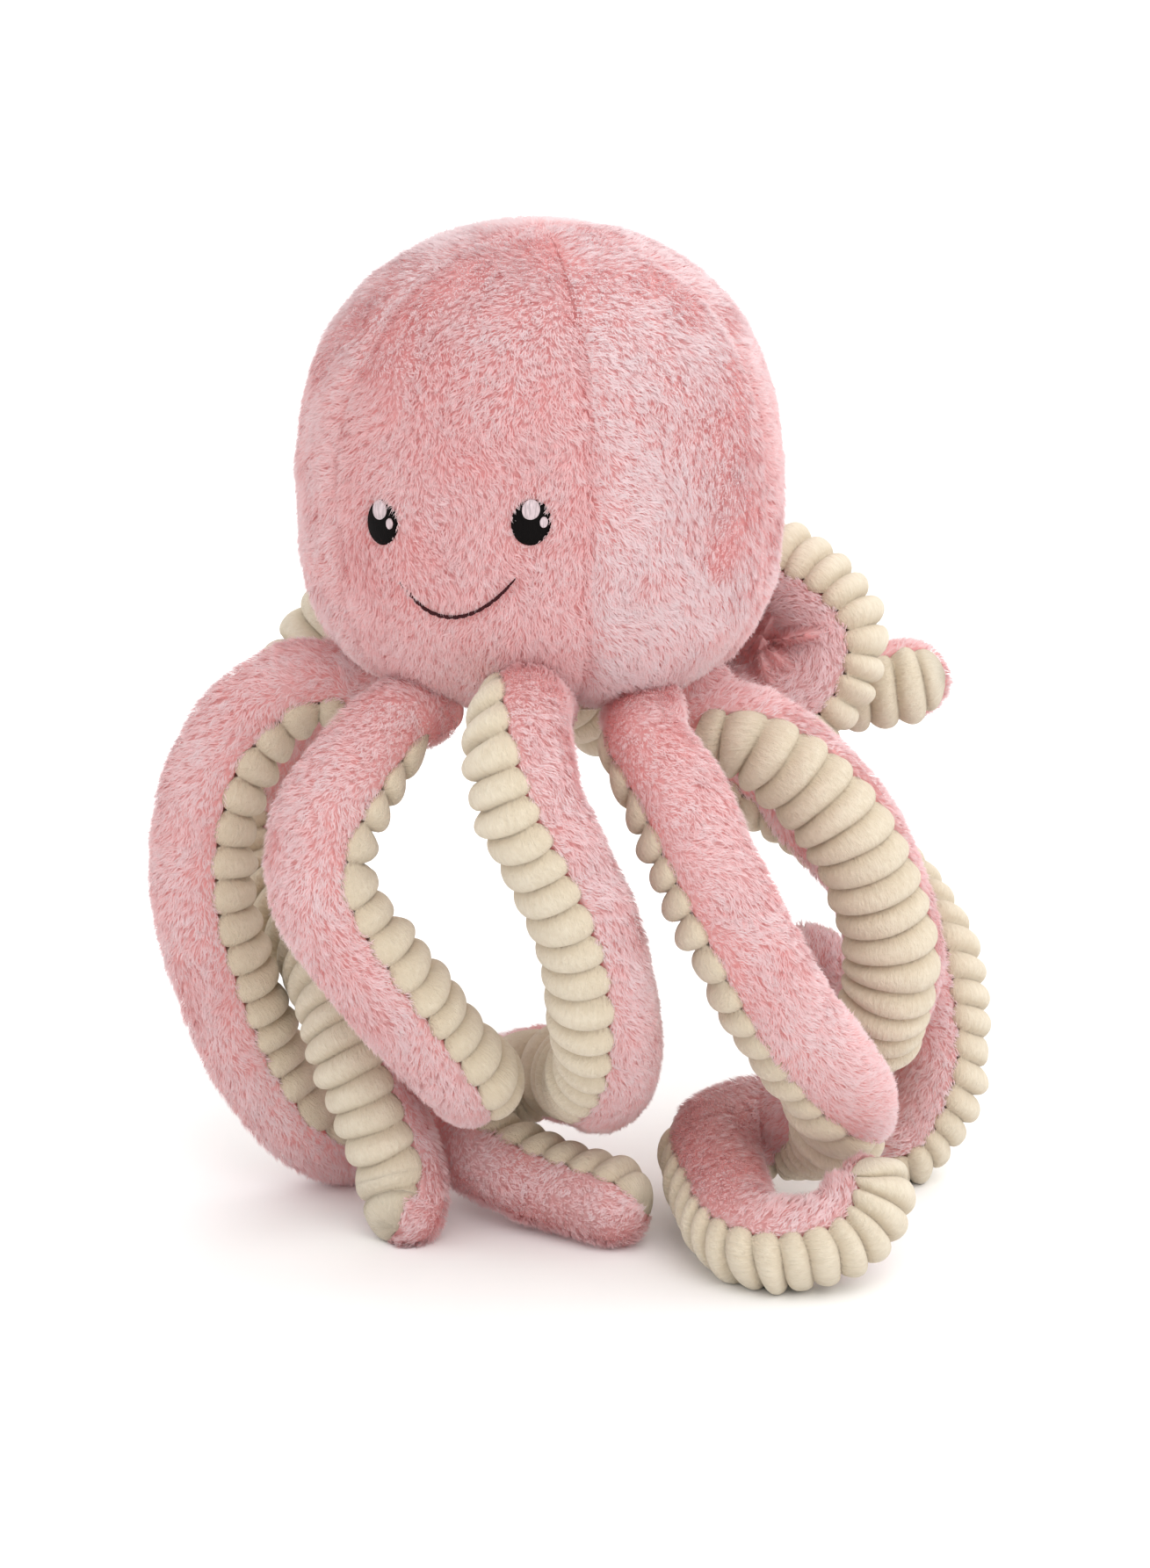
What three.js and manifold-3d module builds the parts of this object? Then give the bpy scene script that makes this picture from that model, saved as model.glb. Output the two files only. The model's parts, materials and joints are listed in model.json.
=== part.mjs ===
// A large stuffed octopus in pink plush. Its head is sewn from six gores round a ball of filling, and
// eight stuffed arms hang from the underside. Each arm is a pink plush sleeve closed underneath by a
// cream strip of puffy cross ribs, and curls in its own way. The toy stands on the ends of its arms.
//
// Millimetres, +Z up. The face looks along -Y and the toy's own left arm side is -X as it is seen
// from the front. Azimuths count from the face towards +X.
import * as THREE from "three";
import { mergeVertices } from "three/addons/utils/BufferGeometryUtils.js";
import Module from "manifold-3d";

// Head
const HEAD_WIDTH = 236;
const HEAD_TOP = 489;
const HEAD_WIDEST = 361;
const HEAD_BOTTOM = 257;
const TOP_SQUARENESS = 2.35;
const BOTTOM_SQUARENESS = 2.8;
const CROWN_RADIUS = 3;
const GORE_THICKNESS = 12;
const FILLING_ROOM = 6.5;
const SEAM_DEPTH = 4.5;
const GORE_EDGES = [-34, 34, 90, 148, 212, 270, 326];
const GORE_COLUMNS = 4;
const GORE_ROWS = 9;
const FILLING_ROWS = 10;
const ROUND_SECTORS = 16;

// Underside patch
const PATCH_RADIUS = 70;
const PATCH_THICKNESS = 11;
const PATCH_FLAT_RADIUS = 43;
const PATCH_ROOM = 1.6;

// Arms
const ARM_RADIUS = 25;
const NECK_RADIUS = 19;
const TIP_RADIUS = 21.5;
const SWELL_LENGTH = 90;
const KNUCKLE_RADIUS = 19.5;
const KNUCKLE_RING = 70;
const KNUCKLE_HEIGHT = 268;
const KNUCKLE_SECTORS = 12;
const KNUCKLE_ROWS = 7;
const RIB_PITCH = 13;
const RIB_START = 22;
const RIB_CREST_SHARE = 1.07;
const RIB_VALLEY_SHARE = 0.9;
const CREST_WIDTH_SHARE = 0.82;
const STRIP_HALF_ANGLE = 66;
const TIP_HALF_ANGLE = 78;
const BARE_HALF_ANGLE = 8;
const SLIMMING_SHARE = 0.6;
const TIP_END_SHARE = 0.05;
const SLEEVE_SPANS = 6;
const RIB_SPANS = 3;
const FLAT_DEPTH = 0.5;

// Face: it is stitched a little to the right of the front and a little askew
const FACE_AZIMUTH = 1;
const FACE_TILT = 4.4;
const EYE_WIDTH = 19;
const EYE_HEIGHT = 22;
const EYE_AZIMUTH = 18.8;
const EYE_LEVEL = 366;
const EYE_THICKNESS = 1.6;
const GLINT_WIDTH = 10;
const GLINT_HEIGHT = 12;
const GLINT_RISE = 5.2;
const SPARK_WIDTH = 4;
const SPARK_HEIGHT = 5.5;
const SPARK_OFFSET = 6.4;
const GLINT_THICKNESS = 0.8;
const PAD_SECTORS = 14;
const PAD_RINGS = 3;
const PAD_EDGE_SHARE = 0.94;
const SMILE_HALF_ANGLE = 14;
const SMILE_LEVEL = 337.5;
const SMILE_DROP = 15.5;
const STITCH_WIDTH = 3;
const STITCH_HEIGHT = 1.6;
const SMILE_STEPS = 14;
const SMILE_THINNING_SHARE = 0.4;
const SLOPE_STEP = 0.5;
const FACET_SINK = 0.6;

// Clearances
const GAP = 0.35;
const HEAD_ROOM = 2.6;
const SOCKET_ROOM = 1.1;
const KNUCKLE_MARGIN = 0.1;
const SWEEP_STEP = 17;
const SWEEP_SECTORS = 20;
const SWEEP_ROWS = 8;

// Where each arm's middle line runs, from the knuckle outwards: azimuth in degrees, then reach from
// the head's axis and height over the floor as shares of the head's width, then the azimuth and the
// tilt in degrees of the way that the cream strip faces there. An arm swings at its sewn root about
// the hinge, whose azimuth counts from the arm's own root and whose tilt is in degrees, and the swing
// is how far it goes either way before it meets a neighbour or the head.
const ARMS = [
  {
    name: "left_front",
    root: -67.5,
    hinge: [-90, 0],
    swing: [-1, 28],
    routeShares: [
      [-68, 0.4, 1.12, 112, -70],
      [-68, 0.52, 1.1, 112, -60],
      [-67, 0.64, 0.99, 115, -30],
      [-65, 0.7, 0.84, 120, -8],
      [-64, 0.71, 0.67, 120, 0],
      [-64, 0.67, 0.5, 120, 10],
      [-66, 0.6, 0.3, 120, 25],
      [-68, 0.51, 0.16, 120, 45],
      [-76, 0.42, 0.089, 130, 65],
      [-92, 0.365, 0.08, 150, 75],
    ],
  },
  {
    name: "front_left",
    root: -22.5,
    hinge: [-90, 0],
    swing: [-5, 28],
    routeShares: [
      [-22, 0.42, 1.11, 150, -60],
      [-23, 0.54, 1.02, 144, -35],
      [-24, 0.61, 0.92, 138, -15],
      [-23, 0.63, 0.82, 132, 0],
      [-20, 0.6, 0.72, 128, 20],
      [-15, 0.56, 0.63, 125, 30],
      [-9, 0.5, 0.525, 122, 30],
      [0, 0.4, 0.38, 112, 20],
      [-6, 0.31, 0.345, 112, 5],
      [-23, 0.23, 0.36, 112, 0],
    ],
  },
  {
    name: "front_right",
    root: 22.5,
    hinge: [-90, 0],
    swing: [-12, 2],
    routeShares: [
      [19, 0.39, 1.17, -62, -20],
      [18, 0.48, 1.18, -62, -18],
      [18, 0.56, 1.13, -56, -14],
      [20, 0.6, 1.03, -46, -8],
      [25, 0.6, 0.91, -41, 0],
      [31, 0.59, 0.76, -40, 0],
      [35, 0.56, 0.61, -42, 5],
      [39, 0.47, 0.46, -50, 12],
      [44, 0.32, 0.35, -62, 18],
      [56, 0.18, 0.3, -66, 20],
      [94, 0.08, 0.265, -60, 18],
      [-158, 0.08, 0.235, 10, 15],
      [-108, 0.14, 0.2, 55, 18],
      [-71, 0.175, 0.17, 92, 22],
      [-38, 0.178, 0.14, 120, 28],
      [4, 0.19, 0.11, 145, 36],
      [39, 0.29, 0.091, 165, 45],
      [52, 0.42, 0.084, 170, 45],
    ],
  },
  {
    name: "right_front",
    root: 67.5,
    hinge: [-90, 0],
    swing: [-2, 25],
    routeShares: [
      [52, 0.42, 1.08, -112, -60],
      [53, 0.52, 1.0, -105, -35],
      [55, 0.6, 0.87, -95, -22],
      [59, 0.66, 0.73, -90, -20],
      [65, 0.69, 0.585, -92, -24],
      [74, 0.71, 0.44, -98, -38],
      [83, 0.71, 0.32, -108, -55],
      [93, 0.63, 0.225, -130, -72],
      [101, 0.52, 0.185, -150, -62],
      [99, 0.425, 0.17, -130, -55],
      [88, 0.395, 0.16, -100, -52],
      [76, 0.44, 0.143, -80, -50],
      [68, 0.52, 0.126, -65, -48],
      [62, 0.605, 0.107, -42, -46],
      [61, 0.71, 0.097, -8, -45],
      [65, 0.79, 0.104, 22, -42],
      [70, 0.83, 0.135, 45, -35],
      [74, 0.84, 0.2, 58, -15],
      [75, 0.82, 0.25, 60, 5],
    ],
  },
  {
    name: "right_back",
    root: 112.5,
    hinge: [30, 0],
    swing: [-15, 15],
    routeShares: [
      [105, 0.34, 1.07, 22, -60],
      [101, 0.46, 1.02, 20, -30],
      [101, 0.56, 0.94, 18, -18],
      [101, 0.65, 0.835, 15, -10],
      [102, 0.71, 0.695, 12, -4],
      [103, 0.74, 0.555, 12, 0],
      [105, 0.72, 0.445, 16, -15],
      [111, 0.69, 0.37, 20, -60],
      [120, 0.64, 0.36, -160, -70],
      [127, 0.6, 0.43, -158, -15],
      [128, 0.58, 0.53, -155, 5],
    ],
  },
  {
    name: "back_right",
    root: 157.5,
    hinge: [-90, 0],
    swing: [-5, 8],
    routeShares: [
      [157, 0.37, 1.04, 60, -80],
      [149, 0.45, 0.985, 95, -80],
      [140, 0.56, 0.98, 112, -72],
      [137, 0.64, 1.03, 112, -35],
      [138, 0.69, 1.13, 112, 5],
      [143, 0.66, 1.22, 112, 50],
      [152, 0.61, 1.255, 112, 85],
      [163, 0.58, 1.21, -68, 45],
      [167, 0.6, 1.1, -68, -5],
      [164, 0.66, 1.01, -68, -55],
      [157, 0.73, 0.975, -30, -80],
      [150, 0.81, 0.975, 22, -45],
      [145, 0.9, 0.985, 22, -15],
      [141, 1.0, 1.005, 22, 5],
    ],
  },
  {
    name: "back_left",
    root: -157.5,
    hinge: [-90, 0],
    swing: [-5, 25],
    routeShares: [
      [-161, 0.45, 1.03, 20, -80],
      [-174, 0.6, 0.905, 20, -78],
      [173, 0.72, 0.8, 60, -75],
      [159, 0.8, 0.71, 105, -65],
      [148, 0.82, 0.63, 115, -45],
      [137, 0.84, 0.54, 112, -25],
      [128, 0.86, 0.44, 112, -8],
      [123, 0.87, 0.33, 112, 0],
      [119, 0.85, 0.21, 108, -22],
      [117, 0.79, 0.102, 98, -50],
      [115, 0.7, 0.05, 60, -70],
    ],
  },
  {
    name: "left_back",
    root: -112.5,
    hinge: [60, -45],
    swing: [-2, 15],
    routeShares: [
      [-119, 0.44, 1.15, -31, -65],
      [-121, 0.54, 1.18, -31, -40],
      [-120, 0.62, 1.15, -34, -15],
      [-116, 0.68, 1.06, -38, 0],
      [-107, 0.7, 0.92, -44, 0],
      [-98, 0.69, 0.77, -46, 0],
      [-91, 0.62, 0.62, -40, 0],
      [-80, 0.475, 0.535, -30, 0],
      [-59, 0.42, 0.48, -18, 0],
      [-46, 0.42, 0.4, -14, -5],
      [-37, 0.41, 0.3, -11, -10],
      [-31, 0.395, 0.21, -11, -12],
      [-26, 0.385, 0.125, -20, -5],
      [-21, 0.415, 0.061, -30, 5],
      [-18, 0.46, 0.044, -40, 10],
    ],
  },
];

const pinkPlush = new THREE.MeshStandardMaterial({ color: 0xe9a9b2, roughness: 0.95, metalness: 0 });
const creamPlush = new THREE.MeshStandardMaterial({ color: 0xefe3cd, roughness: 0.95, metalness: 0 });
const blackThread = new THREE.MeshStandardMaterial({ color: 0x17141a, roughness: 0.6, metalness: 0 });
const whiteThread = new THREE.MeshStandardMaterial({ color: 0xfbf3f4, roughness: 0.7, metalness: 0 });
const filling = new THREE.MeshStandardMaterial({ color: 0xf6f4f0, roughness: 1, metalness: 0 });

const wasm = await Module();
wasm.setup();

const radians = THREE.MathUtils.degToRad;
const HEAD_RADIUS = HEAD_WIDTH / 2;

// Solids

function solidOf(geometry) {
  const bare = new THREE.BufferGeometry();
  bare.setAttribute("position", geometry.getAttribute("position").clone());
  bare.setIndex(geometry.getIndex());
  const merged = mergeVertices(bare, 1e-4);
  return new wasm.Manifold(
    new wasm.Mesh({
      numProp: 3,
      vertProperties: new Float32Array(merged.attributes.position.array),
      triVerts: new Uint32Array(merged.index.array),
    }),
  );
}

function geometryOf(solid) {
  const mesh = solid.getMesh();
  const geometry = new THREE.BufferGeometry();
  geometry.setAttribute("position", new THREE.BufferAttribute(mesh.vertProperties, 3));
  geometry.setIndex(new THREE.BufferAttribute(mesh.triVerts, 1));
  const faceted = geometry.toNonIndexed();
  faceted.computeVertexNormals();
  return faceted;
}

function geometryFrom(points, triangles) {
  const geometry = new THREE.BufferGeometry();
  const flat = points.flatMap((p) => [p.x, p.y, p.z]);
  geometry.setAttribute("position", new THREE.Float32BufferAttribute(flat, 3));
  geometry.setIndex(triangles);
  return geometry;
}

// A profile of radii and heights turned round the upright axis.
function turned(profile, segments) {
  return solidOf(new THREE.LatheGeometry(profile, segments).rotateX(Math.PI / 2));
}

// Directions and places round the head's axis

function outward(azimuth) {
  return new THREE.Vector3(Math.sin(radians(azimuth)), -Math.cos(radians(azimuth)), 0);
}

function placeRound(azimuth, reach, height) {
  return outward(azimuth).multiplyScalar(reach).setZ(height);
}

function facing(azimuth, tilt) {
  const level = outward(azimuth).multiplyScalar(Math.cos(radians(tilt)));
  return level.setZ(Math.sin(radians(tilt)));
}

// Head: a squared-off egg, rounder above its widest level than below it

function headRadiusAt(height, inset = 0) {
  const above = height > HEAD_WIDEST;
  const squareness = above ? TOP_SQUARENESS : BOTTOM_SQUARENESS;
  const reach = (above ? HEAD_TOP - HEAD_WIDEST : HEAD_WIDEST - HEAD_BOTTOM) - inset;
  const share = Math.min(1, Math.abs(height - HEAD_WIDEST) / reach);
  return (HEAD_RADIUS - inset) * Math.pow(1 - Math.pow(share, squareness), 1 / squareness);
}

function headHeightAt(radius, inset = 0) {
  const reach = HEAD_WIDEST - HEAD_BOTTOM - inset;
  const share = Math.min(1, radius / (HEAD_RADIUS - inset));
  return HEAD_WIDEST - reach * Math.pow(1 - Math.pow(share, BOTTOM_SQUARENESS), 1 / BOTTOM_SQUARENESS);
}

// The outline from a small hole at the crown, or from the crown itself, down to a radius underneath.
function headOutline(rows, inset, topRadius, bottomRadius) {
  const outline = [];
  const lowest = Math.acos(Math.pow(bottomRadius / (HEAD_RADIUS - inset), BOTTOM_SQUARENESS / 2));
  const highest = Math.acos(Math.pow(topRadius / (HEAD_RADIUS - inset), TOP_SQUARENESS / 2));
  for (let row = 0; row <= rows; row++) {
    const angle = highest - ((highest + lowest) * row) / rows;
    const above = angle > 0;
    const power = 2 / (above ? TOP_SQUARENESS : BOTTOM_SQUARENESS);
    const reach = (above ? HEAD_TOP - HEAD_WIDEST : HEAD_WIDEST - HEAD_BOTTOM) - inset;
    const radius = (HEAD_RADIUS - inset) * Math.pow(Math.cos(angle), power);
    const rise = Math.sign(angle) * reach * Math.pow(Math.abs(Math.sin(angle)), power);
    outline.push(new THREE.Vector2(radius, HEAD_WIDEST + rise));
  }
  return outline;
}

function headForm(inset, segments, rows) {
  const outline = headOutline(rows, inset, 0, 0);
  outline[0].x = 0;
  outline[rows].x = 0;
  return turned(outline.reverse(), segments);
}

// How far the plush is drawn in across a gore: nothing in the middle, the seam's depth at its edges.
function seamDip(share) {
  return SEAM_DEPTH * Math.pow(Math.abs(2 * share - 1), 4);
}

function goreForm(from, to) {
  const outer = headOutline(GORE_ROWS, 0, CROWN_RADIUS, PATCH_RADIUS);
  const inner = headOutline(GORE_ROWS, GORE_THICKNESS, CROWN_RADIUS, PATCH_RADIUS - GORE_THICKNESS / 2);
  const points = [];
  for (const [layer, outline] of [outer, inner].entries()) {
    for (const { x: radius, y: height } of outline) {
      const trim = THREE.MathUtils.radToDeg(Math.asin(GAP / 2 / radius));
      for (let column = 0; column <= GORE_COLUMNS; column++) {
        const share = column / GORE_COLUMNS;
        const azimuth = THREE.MathUtils.lerp(from + trim, to - trim, share);
        const dip = layer === 0 ? (seamDip(share) * radius) / HEAD_RADIUS : 0;
        points.push(placeRound(azimuth, radius - dip, height));
      }
    }
  }
  const wide = GORE_COLUMNS + 1;
  const layerSize = wide * (GORE_ROWS + 1);
  const at = (layer, row, column) => layer * layerSize + row * wide + column;
  const triangles = [];
  const quad = (a, b, c, d) => triangles.push(a, b, c, a, c, d);
  for (let row = 0; row < GORE_ROWS; row++) {
    for (let column = 0; column < GORE_COLUMNS; column++) {
      quad(at(0, row, column), at(0, row + 1, column), at(0, row + 1, column + 1), at(0, row, column + 1));
      quad(at(1, row, column), at(1, row, column + 1), at(1, row + 1, column + 1), at(1, row + 1, column));
    }
    quad(at(0, row, 0), at(1, row, 0), at(1, row + 1, 0), at(0, row + 1, 0));
    const last = GORE_COLUMNS;
    quad(at(0, row, last), at(0, row + 1, last), at(1, row + 1, last), at(1, row, last));
  }
  for (let column = 0; column < GORE_COLUMNS; column++) {
    const low = GORE_ROWS;
    quad(at(0, 0, column), at(0, 0, column + 1), at(1, 0, column + 1), at(1, 0, column));
    quad(at(0, low, column), at(1, low, column), at(1, low, column + 1), at(0, low, column + 1));
  }
  return solidOf(geometryFrom(points, triangles));
}

// The filling is the head's form inside the gores, with a ledge over the arms' knuckles and a neck
// that comes down between them to the patch.
function fillingForm() {
  const inset = GORE_THICKNESS + FILLING_ROOM;
  const ledge = KNUCKLE_HEIGHT + KNUCKLE_RADIUS + FILLING_ROOM;
  const neck = PATCH_FLAT_RADIUS - GAP;
  const outline = headOutline(FILLING_ROWS, inset, 0, 0).filter(({ y: height }) => height > ledge + GAP);
  outline[0].x = 0;
  outline.push(new THREE.Vector2(outline[outline.length - 1].x, ledge));
  outline.push(new THREE.Vector2(neck, ledge));
  outline.push(new THREE.Vector2(neck, headHeightAt(PATCH_FLAT_RADIUS) + PATCH_THICKNESS + GAP));
  outline.push(new THREE.Vector2(0, headHeightAt(PATCH_FLAT_RADIUS) + PATCH_THICKNESS + GAP));
  return turned(outline.reverse(), ROUND_SECTORS);
}

// The underside patch: flat in the middle, then rising with the head's outline to its seam.
function patchForm() {
  const seat = headHeightAt(PATCH_FLAT_RADIUS);
  const rim = PATCH_RADIUS - PATCH_ROOM;
  const outline = [
    new THREE.Vector2(0, seat),
    new THREE.Vector2(PATCH_FLAT_RADIUS, seat),
    new THREE.Vector2(rim, headHeightAt(rim)),
    new THREE.Vector2(rim - PATCH_THICKNESS, headHeightAt(rim) + PATCH_THICKNESS / 2),
    new THREE.Vector2(PATCH_FLAT_RADIUS, seat + PATCH_THICKNESS),
    new THREE.Vector2(0, seat + PATCH_THICKNESS),
  ];
  return turned(outline, ROUND_SECTORS);
}

// Arms

// The middle line with, at every share of its length, its place, heading, strip side and radius.
function armLine(arm) {
  const { routeShares } = arm;
  const places = [knuckleCentre(arm)];
  const sides = [facing(routeShares[0][3], routeShares[0][4])];
  for (const [azimuth, reachShare, heightShare, sideAzimuth, sideTilt] of routeShares) {
    places.push(placeRound(azimuth, reachShare * HEAD_WIDTH, heightShare * HEAD_WIDTH));
    sides.push(facing(sideAzimuth, sideTilt));
  }
  const curve = new THREE.CatmullRomCurve3(places, false, "centripetal");
  const length = curve.getLength();
  const at = (distance) => {
    const share = THREE.MathUtils.clamp(distance / length, 0, 1);
    const spot = curve.getUtoTmapping(share) * (places.length - 1);
    const before = Math.min(Math.floor(spot), places.length - 2);
    const heading = curve.getTangentAt(share);
    const side = sides[before].clone().lerp(sides[before + 1], spot - before);
    side.addScaledVector(heading, -side.dot(heading)).normalize();
    const across = new THREE.Vector3().crossVectors(heading, side);
    return { place: curve.getPointAt(share), heading, side, across, radius: armRadius(distance, length) };
  };
  return { length, at };
}

// Narrow where the arm is sewn on, full along its run, a little slimmer and rounded at its tip.
function armRadius(distance, length) {
  const swell = THREE.MathUtils.smoothstep(distance, 0, SWELL_LENGTH);
  const full = THREE.MathUtils.lerp(NECK_RADIUS, ARM_RADIUS, swell);
  const slim = THREE.MathUtils.smoothstep(distance, length * SLIMMING_SHARE, length - TIP_RADIUS);
  const body = THREE.MathUtils.lerp(full, TIP_RADIUS, slim);
  const fromTip = THREE.MathUtils.clamp((length - distance) / TIP_RADIUS, TIP_END_SHARE, 1);
  return body * Math.sqrt(1 - (1 - fromTip) * (1 - fromTip));
}

function stripHalfAngle(distance, length) {
  const widen = THREE.MathUtils.smoothstep(distance, length - 2 * RIB_PITCH, length);
  return radians(THREE.MathUtils.lerp(STRIP_HALF_ANGLE, TIP_HALF_ANGLE, widen));
}

function onSection({ place, side, across, radius }, angle, share = 1, shift = 0) {
  return place
    .clone()
    .addScaledVector(side, radius * share * Math.cos(angle) + shift)
    .addScaledVector(across, radius * share * Math.sin(angle));
}

// Rings of equal size, joined in order and closed by a fan at each end.
function loft(rings) {
  const points = rings.flat();
  const size = rings[0].length;
  const triangles = [];
  for (let ring = 0; ring + 1 < rings.length; ring++) {
    for (let i = 0; i < size; i++) {
      const [a, b] = [ring * size + i, ring * size + ((i + 1) % size)];
      triangles.push(a, b, b + size, a, b + size, a + size);
    }
  }
  const last = (rings.length - 1) * size;
  for (let i = 1; i + 1 < size; i++) {
    triangles.push(0, i + 1, i, last, last + i, last + i + 1);
  }
  return geometryFrom(points, triangles);
}

// The pink sleeve: a round section whose underside is cut off flat where the cream strip lies. Its
// last point and its first are the two edges of that flat, so the loft joins them straight across.
function sleeveForm(line, stations, firstRib, grown = 0) {
  const rings = stations.map((distance, station) => {
    const section = line.at(distance);
    section.radius += grown;
    const edge = station < firstRib ? radians(BARE_HALF_ANGLE) : stripHalfAngle(distance, line.length);
    const ring = [];
    for (let i = 0; i <= SLEEVE_SPANS; i++) {
      const angle = edge + ((2 * Math.PI - 2 * edge) * i) / SLEEVE_SPANS;
      const atEdge = i === 0 || i === SLEEVE_SPANS;
      ring.push(onSection(section, angle, 1, atEdge ? (grown - GAP) / 2 : 0));
    }
    return ring;
  });
  return solidOf(loft(rings));
}

// The cream strip: a row of valleys on the sleeve's own stations with a puffy crest between each two.
// Its back repeats the sleeve's flat, triangle by triangle, so the two lie together all along.
function stripForm(line, stations, firstRib) {
  const points = [];
  const triangles = [];
  const valleys = [];
  const crests = [];
  const add = (point) => points.push(point) - 1;
  for (let station = firstRib; station < stations.length; station++) {
    const distance = stations[station];
    const section = line.at(distance);
    const edge = stripHalfAngle(distance, line.length);
    const valley = [];
    for (let i = 0; i <= RIB_SPANS; i++) {
      const angle = edge * ((2 * i) / RIB_SPANS - 1);
      const atEdge = i === 0 || i === RIB_SPANS;
      const share = atEdge ? 1 : RIB_VALLEY_SHARE;
      valley.push(add(onSection(section, angle, share, GAP / 2)));
    }
    valleys.push(valley);
    if (station + 1 < stations.length) {
      const middle = (distance + stations[station + 1]) / 2;
      const puffed = line.at(middle);
      const reach = stripHalfAngle(middle, line.length) * CREST_WIDTH_SHARE;
      const crest = [];
      for (let i = 0; i <= RIB_SPANS; i++) {
        crest.push(add(onSection(puffed, reach * ((2 * i) / RIB_SPANS - 1), RIB_CREST_SHARE, GAP / 2)));
      }
      crests.push(crest);
    }
  }
  const strip = (a, b, c, d) => triangles.push(a, b, c, a, c, d);
  crests.forEach((crest, rib) => {
    const [low, high] = [valleys[rib], valleys[rib + 1]];
    for (let i = 0; i < RIB_SPANS; i++) {
      strip(low[i], low[i + 1], crest[i + 1], crest[i]);
      strip(crest[i], crest[i + 1], high[i + 1], high[i]);
    }
    const [from, to] = [low[0], low[RIB_SPANS]];
    const [nextFrom, nextTo] = [high[0], high[RIB_SPANS]];
    triangles.push(from, crest[0], nextFrom, to, nextTo, crest[RIB_SPANS]);
    triangles.push(to, from, nextTo, from, nextFrom, nextTo);
  });
  const [start, end] = [valleys[0], valleys[valleys.length - 1]];
  for (let i = 1; i < RIB_SPANS; i++) {
    triangles.push(start[0], start[i + 1], start[i], end[0], end[i], end[i + 1]);
  }
  return solidOf(geometryFrom(points, triangles));
}

function knuckleCentre({ root }) {
  return placeRound(root, KNUCKLE_RING, KNUCKLE_HEIGHT);
}

function hingeOf({ root, hinge }) {
  return facing(root + hinge[0], hinge[1]);
}

// The ball in the arm's root, with its poles on the hinge. Its socket is close at the poles and has
// room round about for the ball's facets to turn.
function knuckleBall(arm, room = 0, poleRoom = 0) {
  const ball = new THREE.SphereGeometry(KNUCKLE_RADIUS, KNUCKLE_SECTORS, KNUCKLE_ROWS);
  const girth = 1 + room / KNUCKLE_RADIUS;
  const toHinge = new THREE.Quaternion().setFromUnitVectors(new THREE.Vector3(0, 1, 0), hingeOf(arm));
  const scale = new THREE.Vector3(girth, 1 + poleRoom / KNUCKLE_RADIUS, girth);
  return solidOf(ball.applyMatrix4(new THREE.Matrix4().compose(knuckleCentre(arm), toHinge, scale)));
}

// Turns a solid about the arm's hinge, which passes through the middle of its knuckle.
function swung(solid, arm, degrees) {
  const centre = knuckleCentre(arm);
  const turn = new THREE.Matrix4()
    .makeTranslation(centre)
    .multiply(new THREE.Matrix4().makeRotationAxis(hingeOf(arm), radians(degrees)))
    .multiply(new THREE.Matrix4().makeTranslation(centre.negate()));
  return solid.transform(turn.elements);
}

// What the head would take from an arm anywhere in its swing, with the knuckle let be.
function headSweep(arm) {
  const head = headForm(-HEAD_ROOM, SWEEP_SECTORS, SWEEP_ROWS);
  const [low, high] = arm.swing;
  const steps = Math.ceil((high - low) / SWEEP_STEP);
  let sweep = head;
  for (let step = 0; step <= steps; step++) {
    const angle = THREE.MathUtils.lerp(low - 1, high + 1, step / steps);
    sweep = sweep.add(swung(head, arm, -angle));
  }
  return sweep.subtract(knuckleBall(arm, KNUCKLE_MARGIN, KNUCKLE_MARGIN));
}

// The floor under the whole toy, which presses the lowest arm flat by a set depth.
function floorForm(arms) {
  const lowest = Math.min(...arms.flatMap(({ sleeve, strip }) => [sleeve, strip].map(lowestOf)));
  const span = 4 * HEAD_WIDTH;
  const top = lowest + FLAT_DEPTH;
  return solidOf(new THREE.BoxGeometry(span, span, span).translate(0, 0, top - span / 2));
}

function lowestOf(solid) {
  return solid.boundingBox().min[2];
}

function armForms(arm) {
  const line = armLine(arm);
  const count = Math.round(line.length / RIB_PITCH);
  const stations = Array.from({ length: count + 1 }, (_, i) => (line.length * i) / count);
  const firstRib = stations.findIndex((distance) => distance >= RIB_START);
  const cut = headSweep(arm);
  const sleeve = sleeveForm(line, stations, firstRib);
  const clear = sleeveForm(line, stations, firstRib, GAP);
  return {
    name: arm.name,
    sleeve: sleeve.add(knuckleBall(arm)).subtract(cut),
    strip: stripForm(line, stations, firstRib).subtract(clear).subtract(cut),
  };
}

// Face: pads of stitching that lie on the front gore

function onFace(aside, middleHeight, lift) {
  const azimuth = FACE_AZIMUTH + aside;
  const height = middleHeight + radians(aside) * HEAD_RADIUS * Math.tan(radians(FACE_TILT));
  const slope = (headRadiusAt(height + SLOPE_STEP) - headRadiusAt(height - SLOPE_STEP)) / (2 * SLOPE_STEP);
  const lean = Math.atan(slope);
  const radius = headRadiusAt(height) - seamDip((azimuth - GORE_EDGES[0]) / (GORE_EDGES[1] - GORE_EDGES[0]));
  return placeRound(azimuth, radius + lift * Math.cos(lean), height - lift * Math.sin(lean));
}

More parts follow.
